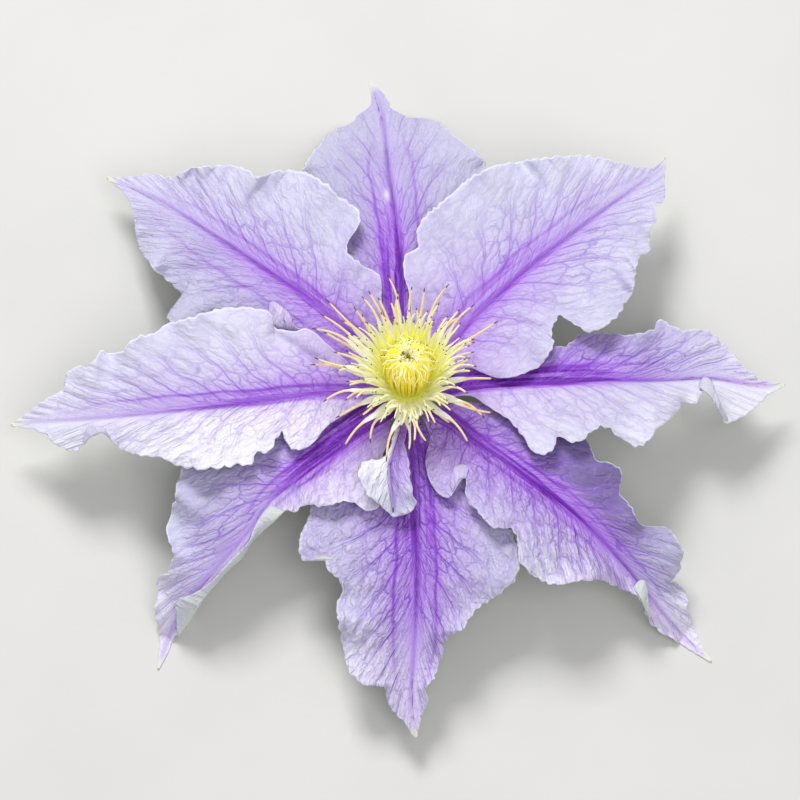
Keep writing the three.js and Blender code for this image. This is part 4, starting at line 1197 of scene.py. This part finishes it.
def stamen_finish(colours):
    """Cream filaments, yellow near the styles, with tan anthers that end in a dark point; painted shade on
    their sides and a faint painted glow.
    """
    material, board = finish_board("stamen_silk")
    share, tone = board.value("share"), board.value("tone")
    fleck = board.noise(board.millimetres(), 1.4, 2.0)
    root = 1 - board.smooth(share, 0.0, 0.42)
    # Painted shade along the sides of each filament
    edge = board.smooth(abs(board.value("girdle")), 0.5, 1.0)
    anther = board.smooth(share, 0.6, 0.72) * (1 - tone * 3.2).clamped()
    colour = board.layered(
        colours.filament, (tone, colours.inner), (root * 0.85, colours.root),
        (edge * 0.5, colours.edge), (anther, colours.anther),
        (board.smooth(share, 0.935, 0.965), colours.anther_tip),
        ((fleck - 0.5).clamped() * 0.4, colours.anther))
    grooves = board.noise(board.vector(board.value("girdle") * 6, share * 3), 1.0, 2.0)
    # A faint painted glow in the stamens' own colour lightens their shade
    shade(board, colour, board.smooth(fleck, 0.3, 0.7, 0.42, 0.58), (grooves, 0.08), {
        **soaked(0.6, 1.3, 1.2, 0.5), **painted_glow(colour, 0.1), "Specular IOR Level": 0.35})
    return material


def style_finish(colours):
    """Gold styles that turn to pale silky threads, with painted shade low down and in the gaps, and a faint
    painted glow.
    """
    material, board = finish_board("style_gold")
    share, tone = board.value("share"), board.value("tone")
    fleck = board.noise(board.millimetres(), 1.1, 2.0)
    colour = board.layered(
        colours.gold, (tone, colours.thread),
        # Painted shade on the lower halves, under the other styles
        ((1 - board.smooth(share, 0.0, 0.6)) * 0.75, colours.ochre),
        (1 - board.smooth(share, 0.05, 0.3), colours.foot),
        (board.smooth(fleck, 0.4, 0.8) * 0.2, colours.thread),
        # Painted shade in the gaps of the head, on the dark threads
        (board.smooth(tone, -0.2, -0.5) * 0.85, colours.dark))
    # A faint painted glow in the styles' own colour lightens their shade
    shade(board, colour, board.smooth(fleck, 0.3, 0.7, 0.4, 0.55), (fleck, 0.06), {
        **soaked(0.15, 0.6, 0.5, 0.3), **painted_glow(colour, 0.08), "Specular IOR Level": 0.35})
    return material


def stalk_finish(colours):
    """A green stalk with paler blotches, russet flecks and down."""
    material, board = finish_board("stalk_green")
    place = board.millimetres()
    blotch = board.noise(place, 0.35, 3.0)
    russet = board.smooth(board.noise(place, 1.7, 2.0), 0.62, 0.8)
    colour = board.layered(
        colours.stalk, (board.smooth(blotch, 0.35, 0.7), colours.blotch),
        (russet * 0.5, colours.russet))
    down = board.noise(place, 2.4, 3.0)
    roughness = board.smooth(blotch, 0.3, 0.7, 0.5, 0.68)
    shade(board, colour, roughness, (down, 0.12), {"Specular IOR Level": 0.35})
    return material


def floor_finish(colours):
    """A plain pale matt surface."""
    material, board = finish_board("floor_matt")
    place = board.millimetres()
    mottle = board.noise(place, 0.02, 3.0)
    colour = board.mix(board.smooth(mottle, 0.3, 0.7) * 0.5, colours.floor, colours.mottle)
    grain = board.noise(place, 0.8, 2.0)
    shade(board, colour, board.smooth(mottle, 0.3, 0.7, 0.75, 0.85), (grain, 0.02), {})
    return material


# Geometry Nodes, and the strands that follow paths


def node_group(name, inputs, output):
    """A new group of Geometry Nodes: its tree, its board, and the wire of each input."""
    tree = bpy.data.node_groups.new(name, "GeometryNodeTree")
    board = Board(tree)
    for label, kind in inputs.items():
        tree.interface.new_socket(label, in_out="INPUT", socket_type="NodeSocket" + kind)
    tree.interface.new_socket(output, in_out="OUTPUT", socket_type="NodeSocketGeometry")
    given = board.add("NodeGroupInput")
    return tree, board, {label: Wire(board, given.outputs[label]) for label in inputs}


def end_group(board, geometry, material):
    """The end of a group: what it made, with all instances real and this material set."""
    real = board.wire("GeometryNodeRealizeInstances", feeds={"Geometry": geometry})
    done = board.wire("GeometryNodeSetMaterial", feeds={"Geometry": real, "Material": material})
    board.add("NodeGroupOutput", feeds={0: done})


def strand_tree(name, sides, girth, depth):
    """Geometry Nodes that thicken the edges of a mesh into closed strands.

    The mesh holds share, from root to tip, and sideways, the direction of each strand's width.
    """
    tree, board, given = node_group(name, {
        "Paths": "Geometry", "Width": "Float", "Thickness": "Float", "Material": "Material"}, "Strands")

    def named(label, kind="FLOAT_VECTOR"):
        return board.wire("GeometryNodeInputNamedAttribute", {"data_type": kind}, {"Name": label})

    def kept(geometry, label, value, kind="FLOAT_VECTOR"):
        return board.wire("GeometryNodeStoreNamedAttribute", {"data_type": kind, "domain": "POINT"},
                          {"Geometry": geometry, "Name": label, "Value": value})

    def swollen(bends, size):
        """The size of the strand from root to tip."""
        return board.wire("ShaderNodeFloatCurve", {"bends": bends}, {
            "Value": named("share", "FLOAT")}) * given[size]

    here = board.wire("GeometryNodeInputPosition")
    rail = board.wire("GeometryNodeMeshToCurve", feeds={"Mesh": given["Paths"]})
    rail = kept(rail, "spine", here)
    rail = kept(rail, "ahead", board.wire("GeometryNodeInputTangent"))
    ring = board.wire("GeometryNodeCurvePrimitiveCircle", feeds={"Resolution": sides, "Radius": 1.0})
    ring = kept(ring, "girdle", here)
    tube = board.wire("GeometryNodeCurveToMesh", feeds={
        "Curve": rail, "Profile Curve": ring, "Fill Caps": True})
    split = board.add("ShaderNodeSeparateXYZ", feeds={0: named("girdle")})
    across, through = (Wire(board, split.outputs[k]) for k in (0, 1))
    sideways = named("sideways")
    facing = board.vectors("NORMALIZE", board.vectors("CROSS_PRODUCT", named("ahead"), sideways))
    reach = board.scaled(sideways, across * swollen(girth, "Width") * 0.5)
    swell = board.scaled(facing, through * swollen(depth, "Thickness") * 0.5)
    spot = board.moved(named("spine"), board.moved(reach, swell))
    tube = board.wire("GeometryNodeSetPosition", feeds={"Geometry": tube, "Position": spot})
    end_group(board, kept(tube, "girdle", across, "FLOAT"), given["Material"])
    return tree


def grown(piece, tree, inputs, drop=()):
    """The piece as a plain mesh, after the node tree has worked on it with these inputs."""
    modifier = piece.modifiers.new(tree.name, "NODES")
    modifier.node_group = tree
    for item in tree.interface.items_tree:
        if item.item_type == "SOCKET" and item.in_out == "INPUT" and item.name in inputs:
            modifier[item.identifier] = inputs[item.name]
    graph = bpy.context.evaluated_depsgraph_get()
    mesh = bpy.data.meshes.new_from_object(piece.evaluated_get(graph), depsgraph=graph)
    piece.modifiers.remove(modifier)
    piece.data = mesh
    for name in drop:
        if name in mesh.attributes:
            mesh.attributes.remove(mesh.attributes[name])
    face_outward(mesh)
    return piece


def strands(name, paths, tree, width, thickness, material):
    """Closed strands along paths. A path is (points, sideways, tone), in the bloom's millimetres."""
    vertices, edges, share, sideways, tone = [], [], [], [], []
    for points, side, shade_of in paths:
        first, count = len(vertices), len(points)
        vertices.extend(points)
        edges.extend((first + i, first + i + 1) for i in range(count - 1))
        share.extend(np.linspace(0, 1, count))
        sideways.extend([side] * count)
        tone.extend([shade_of] * count)
    piece = mesh_piece(name, vertices, [], {
        "share": np.array(share), "sideways": np.array(sideways), "tone": np.array(tone)}, edges)
    return grown(piece, tree, {"Width": width, "Thickness": thickness, "Material": material},
                 drop=("spine", "ahead", "sideways"))


def steady_random(seed):
    """The same draws as the part's own, from 0 to 1."""
    state = seed
    while True:
        state = state * 16807 % 2147483647
        yield state / 2147483647


def spoke_point(turn, radius, height):
    return (radius * math.cos(turn), radius * math.sin(turn), height)


def stamen_path(tip, root, sway, hook):
    """A stamen from its root to its tip, with a sway in its filament and a hook in its anther."""
    turn = math.atan2(tip[1], tip[0])
    reach = math.hypot(tip[0], tip[1])
    rise = tip[2] - STAMEN_ROOT_TOP
    side = np.array([-math.sin(turn), math.cos(turn), 0])
    share = np.linspace(0, 1, STAMEN_POINTS)
    sunk = 0.9
    steps = [(root, -sunk), (lerp(root, reach, 0.2), rise * 0.36),
             (lerp(root, reach, 0.58), rise * 0.8), (reach, rise)]
    points = Path([spoke_point(turn, r, STAMEN_ROOT_TOP + h) for r, h in steps]).at(share)
    points += side * (sway * np.sin(math.pi * share) * share)[:, None]
    bend = np.sin(math.pi * np.clip((share - 0.5) / 0.5, 0, 1))[:, None]
    points += (side * hook[0] + UP * hook[1]) * bend
    return points, side


def stamen_tips():
    """Each stamen's tip, how yellow it is, how far out its root is and whether it stands in front."""
    draws = steady_random(STAMEN_SEED)
    tips = []
    middle = sum(STAMEN_ROOT) / 2
    for x, y in OUTER_TIPS:
        height = BASE_HEIGHT + OUTER_TIP_HEIGHT + 2 * (next(draws) - 0.5)
        tips.append((carried(x, y, np.float64(height)), 0.0, middle, False))
    for ring in INNER_RINGS:
        for i in range(ring["count"]):
            tips.append(ring_tip(ring, i + 0.6 * next(draws), draws, middle))
    for ring in FILLING_RINGS:
        for i in range(ring["count"]):
            stamen = ring_tip(ring, i + 0.8 * next(draws), draws, middle)
            if i % 2 or not stamen[-1]:
                tips.append(stamen)
    return tips


def ring_tip(ring, step, draws, middle):
    """One stamen of a ring. Those in front lean out further, and are paler."""
    turn = 2 * math.pi * step / ring["count"]
    front = max(0, -math.sin(turn))
    radius = ring["tip_radius"] + ring["spread"] * (2 * next(draws) - 1) + ring["out"] * front
    height = BASE_HEIGHT + ring["tip_height"] + ring["spread"] * (next(draws) - 0.5)
    height -= ring["droop"] * front
    tone = lerp(ring["tone"], min(ring["tone"], FRONT_TONE), float(smoothstep(front, 0.1, 0.45)))
    return np.array(spoke_point(turn, radius, height)), tone, ring.get("root", middle), front > 0.3


def style_paths(draw):
    """The styles' bodies on the head's sides, silky ends curling out of its middle, and dark threads of
    painted shade.
    """
    bodies, threads = [], []
    body_steps = [(2.9, 0.12), (3.8, 0.36), (4.3, 0.64), (3.9, 0.84), (2.4, 0.96), (0.9, 0.93)]
    for i in range(STYLES):
        turn = 2 * math.pi * (i + draw.uniform(-0.3, 0.3)) / STYLES
        reach = draw.uniform(0.92, 1.08)
        body = Path([spoke_point(turn, r * reach, HEAD_BOTTOM + h * HEAD_RISE) for r, h in body_steps])
        side = (-math.sin(turn), math.cos(turn), 0)
        bodies.append((body.at(np.linspace(0, 1, 16)), side, draw.uniform(0, 0.25)))
    for i in range(SILKY_ENDS):
        turn = 2 * math.pi * (i + draw.uniform(-0.5, 0.5)) / SILKY_ENDS
        reach, swirl = draw.uniform(3.6, 6.0), draw.uniform(-0.45, 0.45)
        top, drop = draw.uniform(0.9, 0.98), draw.uniform(0.04, 0.3)
        steps = [(0.4, 0.84, 0), (0.9, top - 0.03, 0), (0.5 * reach, top, 0.6),
                 (0.8 * reach, top - drop * 0.4, 0.3), (reach, top - drop, 1)]
        threads.append(style_thread(turn, swirl, steps, draw.uniform(0.25, 0.95)))
    # Dark threads that paint the shade in the gaps between the silky ends
    for _ in range(PAINTED_SHADE_THREADS):
        turn, start = 2 * math.pi * draw.uniform(), draw.uniform(0.1, 2.3)
        top = draw.uniform(0.95, 1.0)
        steps = [(start, 0.86, 0), (start * 1.1, top - 0.02, 0), (start * 1.2, top, 1)]
        threads.append(style_thread(turn, draw.uniform(-0.5, 0.5), steps, -1.0))
    for _ in range(CURLS):
        turn, start = 2 * math.pi * draw.uniform(), draw.uniform(0.3, 1.7)
        reach = start + draw.uniform(0.8, 2.4)
        swirl, top = draw.uniform(-1.6, 1.6), draw.uniform(0.95, 1.0)
        steps = [(start * 0.6, 0.86, 0), (start, top - 0.04, 0.1), (lerp(start, reach, 0.4), top, 0.45),
                 (lerp(start, reach, 0.8), top - 0.02, 0.8), (reach, top - draw.uniform(0.03, 0.12), 1)]
        threads.append(style_thread(turn, swirl, steps, draw.uniform(0.8, 1.0)))
    return bodies, threads


def style_thread(turn, swirl, steps, tone):
    """A silky thread whose steps are (radius, share of the head's height, share of the swirl)."""
    points = [spoke_point(turn + swirl * s, r, HEAD_BOTTOM + h * HEAD_RISE) for r, h, s in steps]
    side = (-math.sin(turn), math.cos(turn), 0)
    return Path(points).at(np.linspace(0, 1, THREAD_POINTS)), side, tone


def hair_tree():
    """Geometry Nodes that stand short hairs on a surface, together with the surface itself."""
    tree, board, given = node_group("downy_hairs", {
        "Surface": "Geometry", "Density": "Float", "Length": "Float", "Seed": "Int",
        "Material": "Material"}, "Downy")
    place = board.add("ShaderNodeSeparateXYZ", feeds={0: board.wire("GeometryNodeInputPosition")})
    clear = board.wire("FunctionNodeCompare", {"data_type": "FLOAT", "operation": "GREATER_THAN"}, {
        0: Wire(board, place.outputs[2]), 1: given["Length"] * 1.1})
    scatter = board.add("GeometryNodeDistributePointsOnFaces", feeds={
        "Mesh": given["Surface"], "Selection": clear, "Density": given["Density"],
        "Seed": given["Seed"]})
    hair = board.wire("GeometryNodeMeshCone", {"fill_type": "NGON"}, {
        "Vertices": 3, "Radius Top": 0.01 * MM, "Radius Bottom": 0.04 * MM, "Depth": given["Length"]})
    size = board.wire("FunctionNodeRandomValue", {"data_type": "FLOAT"}, {
        "Min": 0.5, "Max": 1.0, "Seed": given["Seed"]}, output="Value")
    hairs = board.wire("GeometryNodeInstanceOnPoints", feeds={
        "Points": Wire(board, scatter.outputs["Points"]), "Instance": hair,
        "Rotation": Wire(board, scatter.outputs["Rotation"]), "Scale": size})
    together = board.add("GeometryNodeJoinGeometry")
    for part in (given["Surface"], hairs):
        tree.links.new(part.socket, together.inputs[0])
    end_group(board, Wire(board, together.outputs[0]), given["Material"])
    return tree


# Pieces


def add_blade(name, shape, sizes, material, seed, **grid):
    vertices, faces, values = blade(
        shape, sizes.blade / MM, sizes.tooth / MM, sizes.crinkle / MM, seed, **grid)
    piece = mesh_piece(name, vertices, faces, values)
    piece.data.materials.append(material)
    return piece


class CLEMATIS_OT_tepals(bpy.types.Operator):
    """Grow the eight tepals and the small segment in front of them"""

    bl_idname = "clematis.tepals"
    bl_label = "Tepals"

    def execute(self, context):
        sizes = context.scene.clematis_sizes
        material = tepal_finish(context.scene.clematis_colours)
        for order, (place, shape) in enumerate(TEPALS.items()):
            seed = FIRST_BLADE_SEED + order * BLADE_SEED_STEP
            piece = add_blade(f"tepal_{place}_petal", shape, sizes, material, seed)
            settle(piece, "tepal", f"tepal_{place}")
        piece = add_blade("petaloid_petal", PETALOID, sizes, material, PETALOID_SEED, rows=90, columns=20)
        settle(piece, "tepal", "petaloid")
        return {"FINISHED"}


class CLEMATIS_OT_stamens(bpy.types.Operator):
    """Grow the brush of stamens round the styles"""

    bl_idname = "clematis.stamens"
    bl_label = "Stamens"

    def execute(self, context):
        sizes = context.scene.clematis_sizes
        material = stamen_finish(context.scene.clematis_colours)
        draw = np.random.default_rng(STAMEN_SEED)
        groups = {"outer": [], "front": [], "inner": []}
        for tip, tone, root, front in stamen_tips():
            hook = draw.uniform(-0.9, 0.9), draw.uniform(-0.2, 0.8)
            group = "outer" if tone <= OUTER_TONE else "front" if front else "inner"
            hook = [bend * (1.0 if group == "outer" else 0.4) for bend in hook]
            points, side = stamen_path(tip, root, draw.uniform(-1.1, 1.1), hook)
            groups[group].append((points, side, tone + draw.uniform(-0.1, 0.1)))
        slim = strand_tree(
            "outer_stamens", 10,
            girth=[(0, 0.36), (0.2, 0.6), (0.42, 1.0), (0.6, 0.72), (0.71, 0.32), (0.9, 0.26), (1, 0.1)],
            depth=[(0, 0.9), (0.3, 0.6), (0.62, 0.5), (0.74, 0.8), (0.9, 0.7), (1, 0.2)])
        broad = strand_tree(
            "inner_stamens", 8,
            girth=[(0, 0.44), (0.25, 0.56), (0.5, 0.6), (0.72, 0.34), (0.88, 0.16), (0.96, 0.2),
                   (1, 0.08)],
            depth=[(0, 0.8), (0.3, 0.5), (0.6, 0.45), (0.85, 0.4), (0.96, 0.5), (1, 0.2)])
        ways = {"outer": (slim, 1), "front": (slim, 0.75), "inner": (broad, 1)}
        brush = [strands(group, groups[group], tree, sizes.filament * width, sizes.filament_depth,
                         material) for group, (tree, width) in ways.items()]
        inner, outer = STAMEN_ROOT
        low, high = RECEPTACLE_TOP + 0.3, STAMEN_ROOT_TOP
        ring = lathe("stamen_roots", [
            (0, low), (inner, low), (outer - 0.3, low), (outer, low + 0.4), (outer, high - 0.5),
            (outer - 0.5, high), (inner + 0.3, high), (inner, high - 0.3), (0, low + 0.1)])
        ring.data.materials.append(material)
        piece = joined([*brush, ring], "stamen_brush")
        settle(piece, "stamen", "stamens")
        return {"FINISHED"}


class CLEMATIS_OT_pistils(bpy.types.Operator):
    """Grow the head of styles in the middle"""

    bl_idname = "clematis.pistils"
    bl_label = "Styles"

    def execute(self, context):
        sizes = context.scene.clematis_sizes
        material = style_finish(context.scene.clematis_colours)
        bodies, threads = style_paths(np.random.default_rng(STYLE_SEED))
        body_tree = strand_tree("style_bodies", 10, girth=[(0, 0.7), (0.4, 1), (0.7, 0.85), (1, 0.3)],
                                depth=[(0, 1), (0.5, 1), (1, 0.4)])
        thread_tree = strand_tree("style_threads", 6, girth=[(0, 0.8), (0.6, 1), (1, 0.35)],
                                  depth=[(0, 0.8), (0.6, 1), (1, 0.35)])
        core = lathe("style_core", [
            (r * CORE_RADIUS, HEAD_BOTTOM + h * HEAD_RISE) for r, h in (
                (0, 0), (0.66, 0), (0.86, 0.35), (1, 0.64), (0.8, 0.84), (0.4, 0.92), (0, 0.93))])
        core.data.materials.append(material)
        store(core.data, "share", "FLOAT", np.full(len(core.data.vertices), 0.3))
        piece = joined([
            strands("style_bodies", bodies, body_tree, sizes.style, sizes.style, material),
            strands("style_threads", threads, thread_tree, sizes.thread, sizes.thread, material),
            core], "style_head")
        settle(piece, "pistil", "pistils")
        return {"FINISHED"}


class CLEMATIS_OT_stem(bpy.types.Operator):
    """Grow the receptacle and the cut stalk that bends away underneath"""

    bl_idname = "clematis.stem"
    bl_label = "Stalk"

    def execute(self, context):
        sizes = context.scene.clematis_sizes
        material = stalk_finish(context.scene.clematis_colours)
        radius = sizes.stalk / MM
        base, top = BASE_HEIGHT, RECEPTACLE_TOP
        low, lying = base - 2.6, radius + 0.05
        bend = Path([(0, 0, base - 0.8), (0.2, 0.4, low - 0.6), (2.4, 4.8, lying + 3),
                     (8, 14, lying + 0.25), (13, 22, lying), (17, 31, lying)])
        along = bend.along(np.linspace(0, 1, 90))
        side = np.array([14, -8, 0]) / math.hypot(14, 8)
        tree = strand_tree("stalk_strand", 40, girth=[(0, 1), (1, 1)], depth=[(0, 1), (1, 1)])
        width = sizes.stalk * 2
        stalk = strands("stalk", [(along, side, 0.0)], tree, width, width, material)
        receptacle = lathe("receptacle", [
            (0, low), (radius, low), (2.6, base - 1.3), (3.9, base - 0.5), (4.1, base),
            (3.8, top - 0.5), (3.3, top), (0, top)])
        receptacle.data.materials.append(material)
        piece = joined([stalk, receptacle], "stalk_and_receptacle")
        hairs_per_square_metre = 3.0e6
        piece = grown(piece, hair_tree(), {
            "Density": hairs_per_square_metre, "Length": sizes.hair, "Seed": 5, "Material": material})
        settle(piece, "stem", "stem")
        return {"FINISHED"}


class CLEMATIS_OT_stage(bpy.types.Operator):
    """Lay the pale floor, hang the soft lights and stand the camera where the photograph was taken"""

    bl_idname = "clematis.stage"
    bl_label = "Stage"

    def execute(self, context):
        scene = context.scene
        reach = FLOOR_SIZE / 2
        corners = [(-reach, -reach, 0), (reach, -reach, 0), (reach, reach, 0), (-reach, reach, 0)]
        mesh = bpy.data.meshes.new("floor")
        mesh.from_pydata(corners, [], [(0, 1, 2, 3)])
        mesh.materials.append(floor_finish(scene.clematis_colours))
        floor = bpy.data.objects.new("floor", mesh)
        scene.collection.objects.link(floor)
        self.light("key", (-0.25, 0.85, 0.95), 0.5, 13)
        self.light("fill", (0.3, -0.7, 1.0), 0.9, 6)
        world = bpy.data.worlds.new("soft_room")
        world.use_nodes = True
        background = world.node_tree.nodes["Background"]
        background.inputs["Color"].default_value = (0.97, 0.97, 1.0, 1.0)
        background.inputs["Strength"].default_value = 0.38
        scene.world = world
        scene.view_settings.view_transform = "Standard"
        camera = bpy.data.cameras.new("camera")
        camera.sensor_width = SENSOR_WIDTH
        camera.lens = SENSOR_WIDTH * EYE_DISTANCE / SEEN_WIDTH
        camera.clip_start = 0.01
        stand = bpy.data.objects.new("camera", camera)
        stand.location = (EYE + AXIS) * MM
        stand.rotation_euler = (math.pi / 2 - EYE_ELEVATION, 0, 0)
        scene.collection.objects.link(stand)
        scene.camera = stand
        return {"FINISHED"}

    @staticmethod
    def light(name, place, size, power):
        """A square soft light that faces the bloom."""
        data = bpy.data.lights.new(name, "AREA")
        data.size = size
        data.energy = power
        lamp = bpy.data.objects.new(name, data)
        lamp.location = place
        x, y, z = place
        lamp.rotation_euler = (math.atan2(math.hypot(x, y), z), 0, math.atan2(x, -y))
        bpy.context.scene.collection.objects.link(lamp)


class CLEMATIS_PT_bloom(bpy.types.Panel):
    """Lists the bloom's pieces"""

    bl_idname = "CLEMATIS_PT_bloom"
    bl_label = "Clematis bloom"
    bl_space_type = "VIEW_3D"
    bl_region_type = "UI"
    bl_category = "Clematis"

    def draw(self, context):
        scene = context.scene
        for group in (scene.clematis_sizes, scene.clematis_colours):
            box = self.layout.box()
            for name in group.__annotations__:
                box.prop(group, name)
        for operator in PIECES:
            self.layout.operator(operator.bl_idname)


PIECES = (CLEMATIS_OT_tepals, CLEMATIS_OT_stamens, CLEMATIS_OT_pistils, CLEMATIS_OT_stem,
          CLEMATIS_OT_stage)
CLASSES = (ClematisSizes, ClematisColours, *PIECES, CLEMATIS_PT_bloom)


def register():
    for cls in CLASSES:
        bpy.utils.register_class(cls)
    bpy.types.Scene.clematis_sizes = bpy.props.PointerProperty(type=ClematisSizes)
    bpy.types.Scene.clematis_colours = bpy.props.PointerProperty(type=ClematisColours)


def unregister():
    del bpy.types.Scene.clematis_sizes
    del bpy.types.Scene.clematis_colours
    for cls in reversed(CLASSES):
        bpy.utils.unregister_class(cls)


def main():
    register()
    bpy.ops.clematis.tepals()
    bpy.ops.clematis.stamens()
    bpy.ops.clematis.pistils()
    bpy.ops.clematis.stem()
    bpy.ops.clematis.stage()
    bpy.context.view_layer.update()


if __name__ == "__main__":
    main()
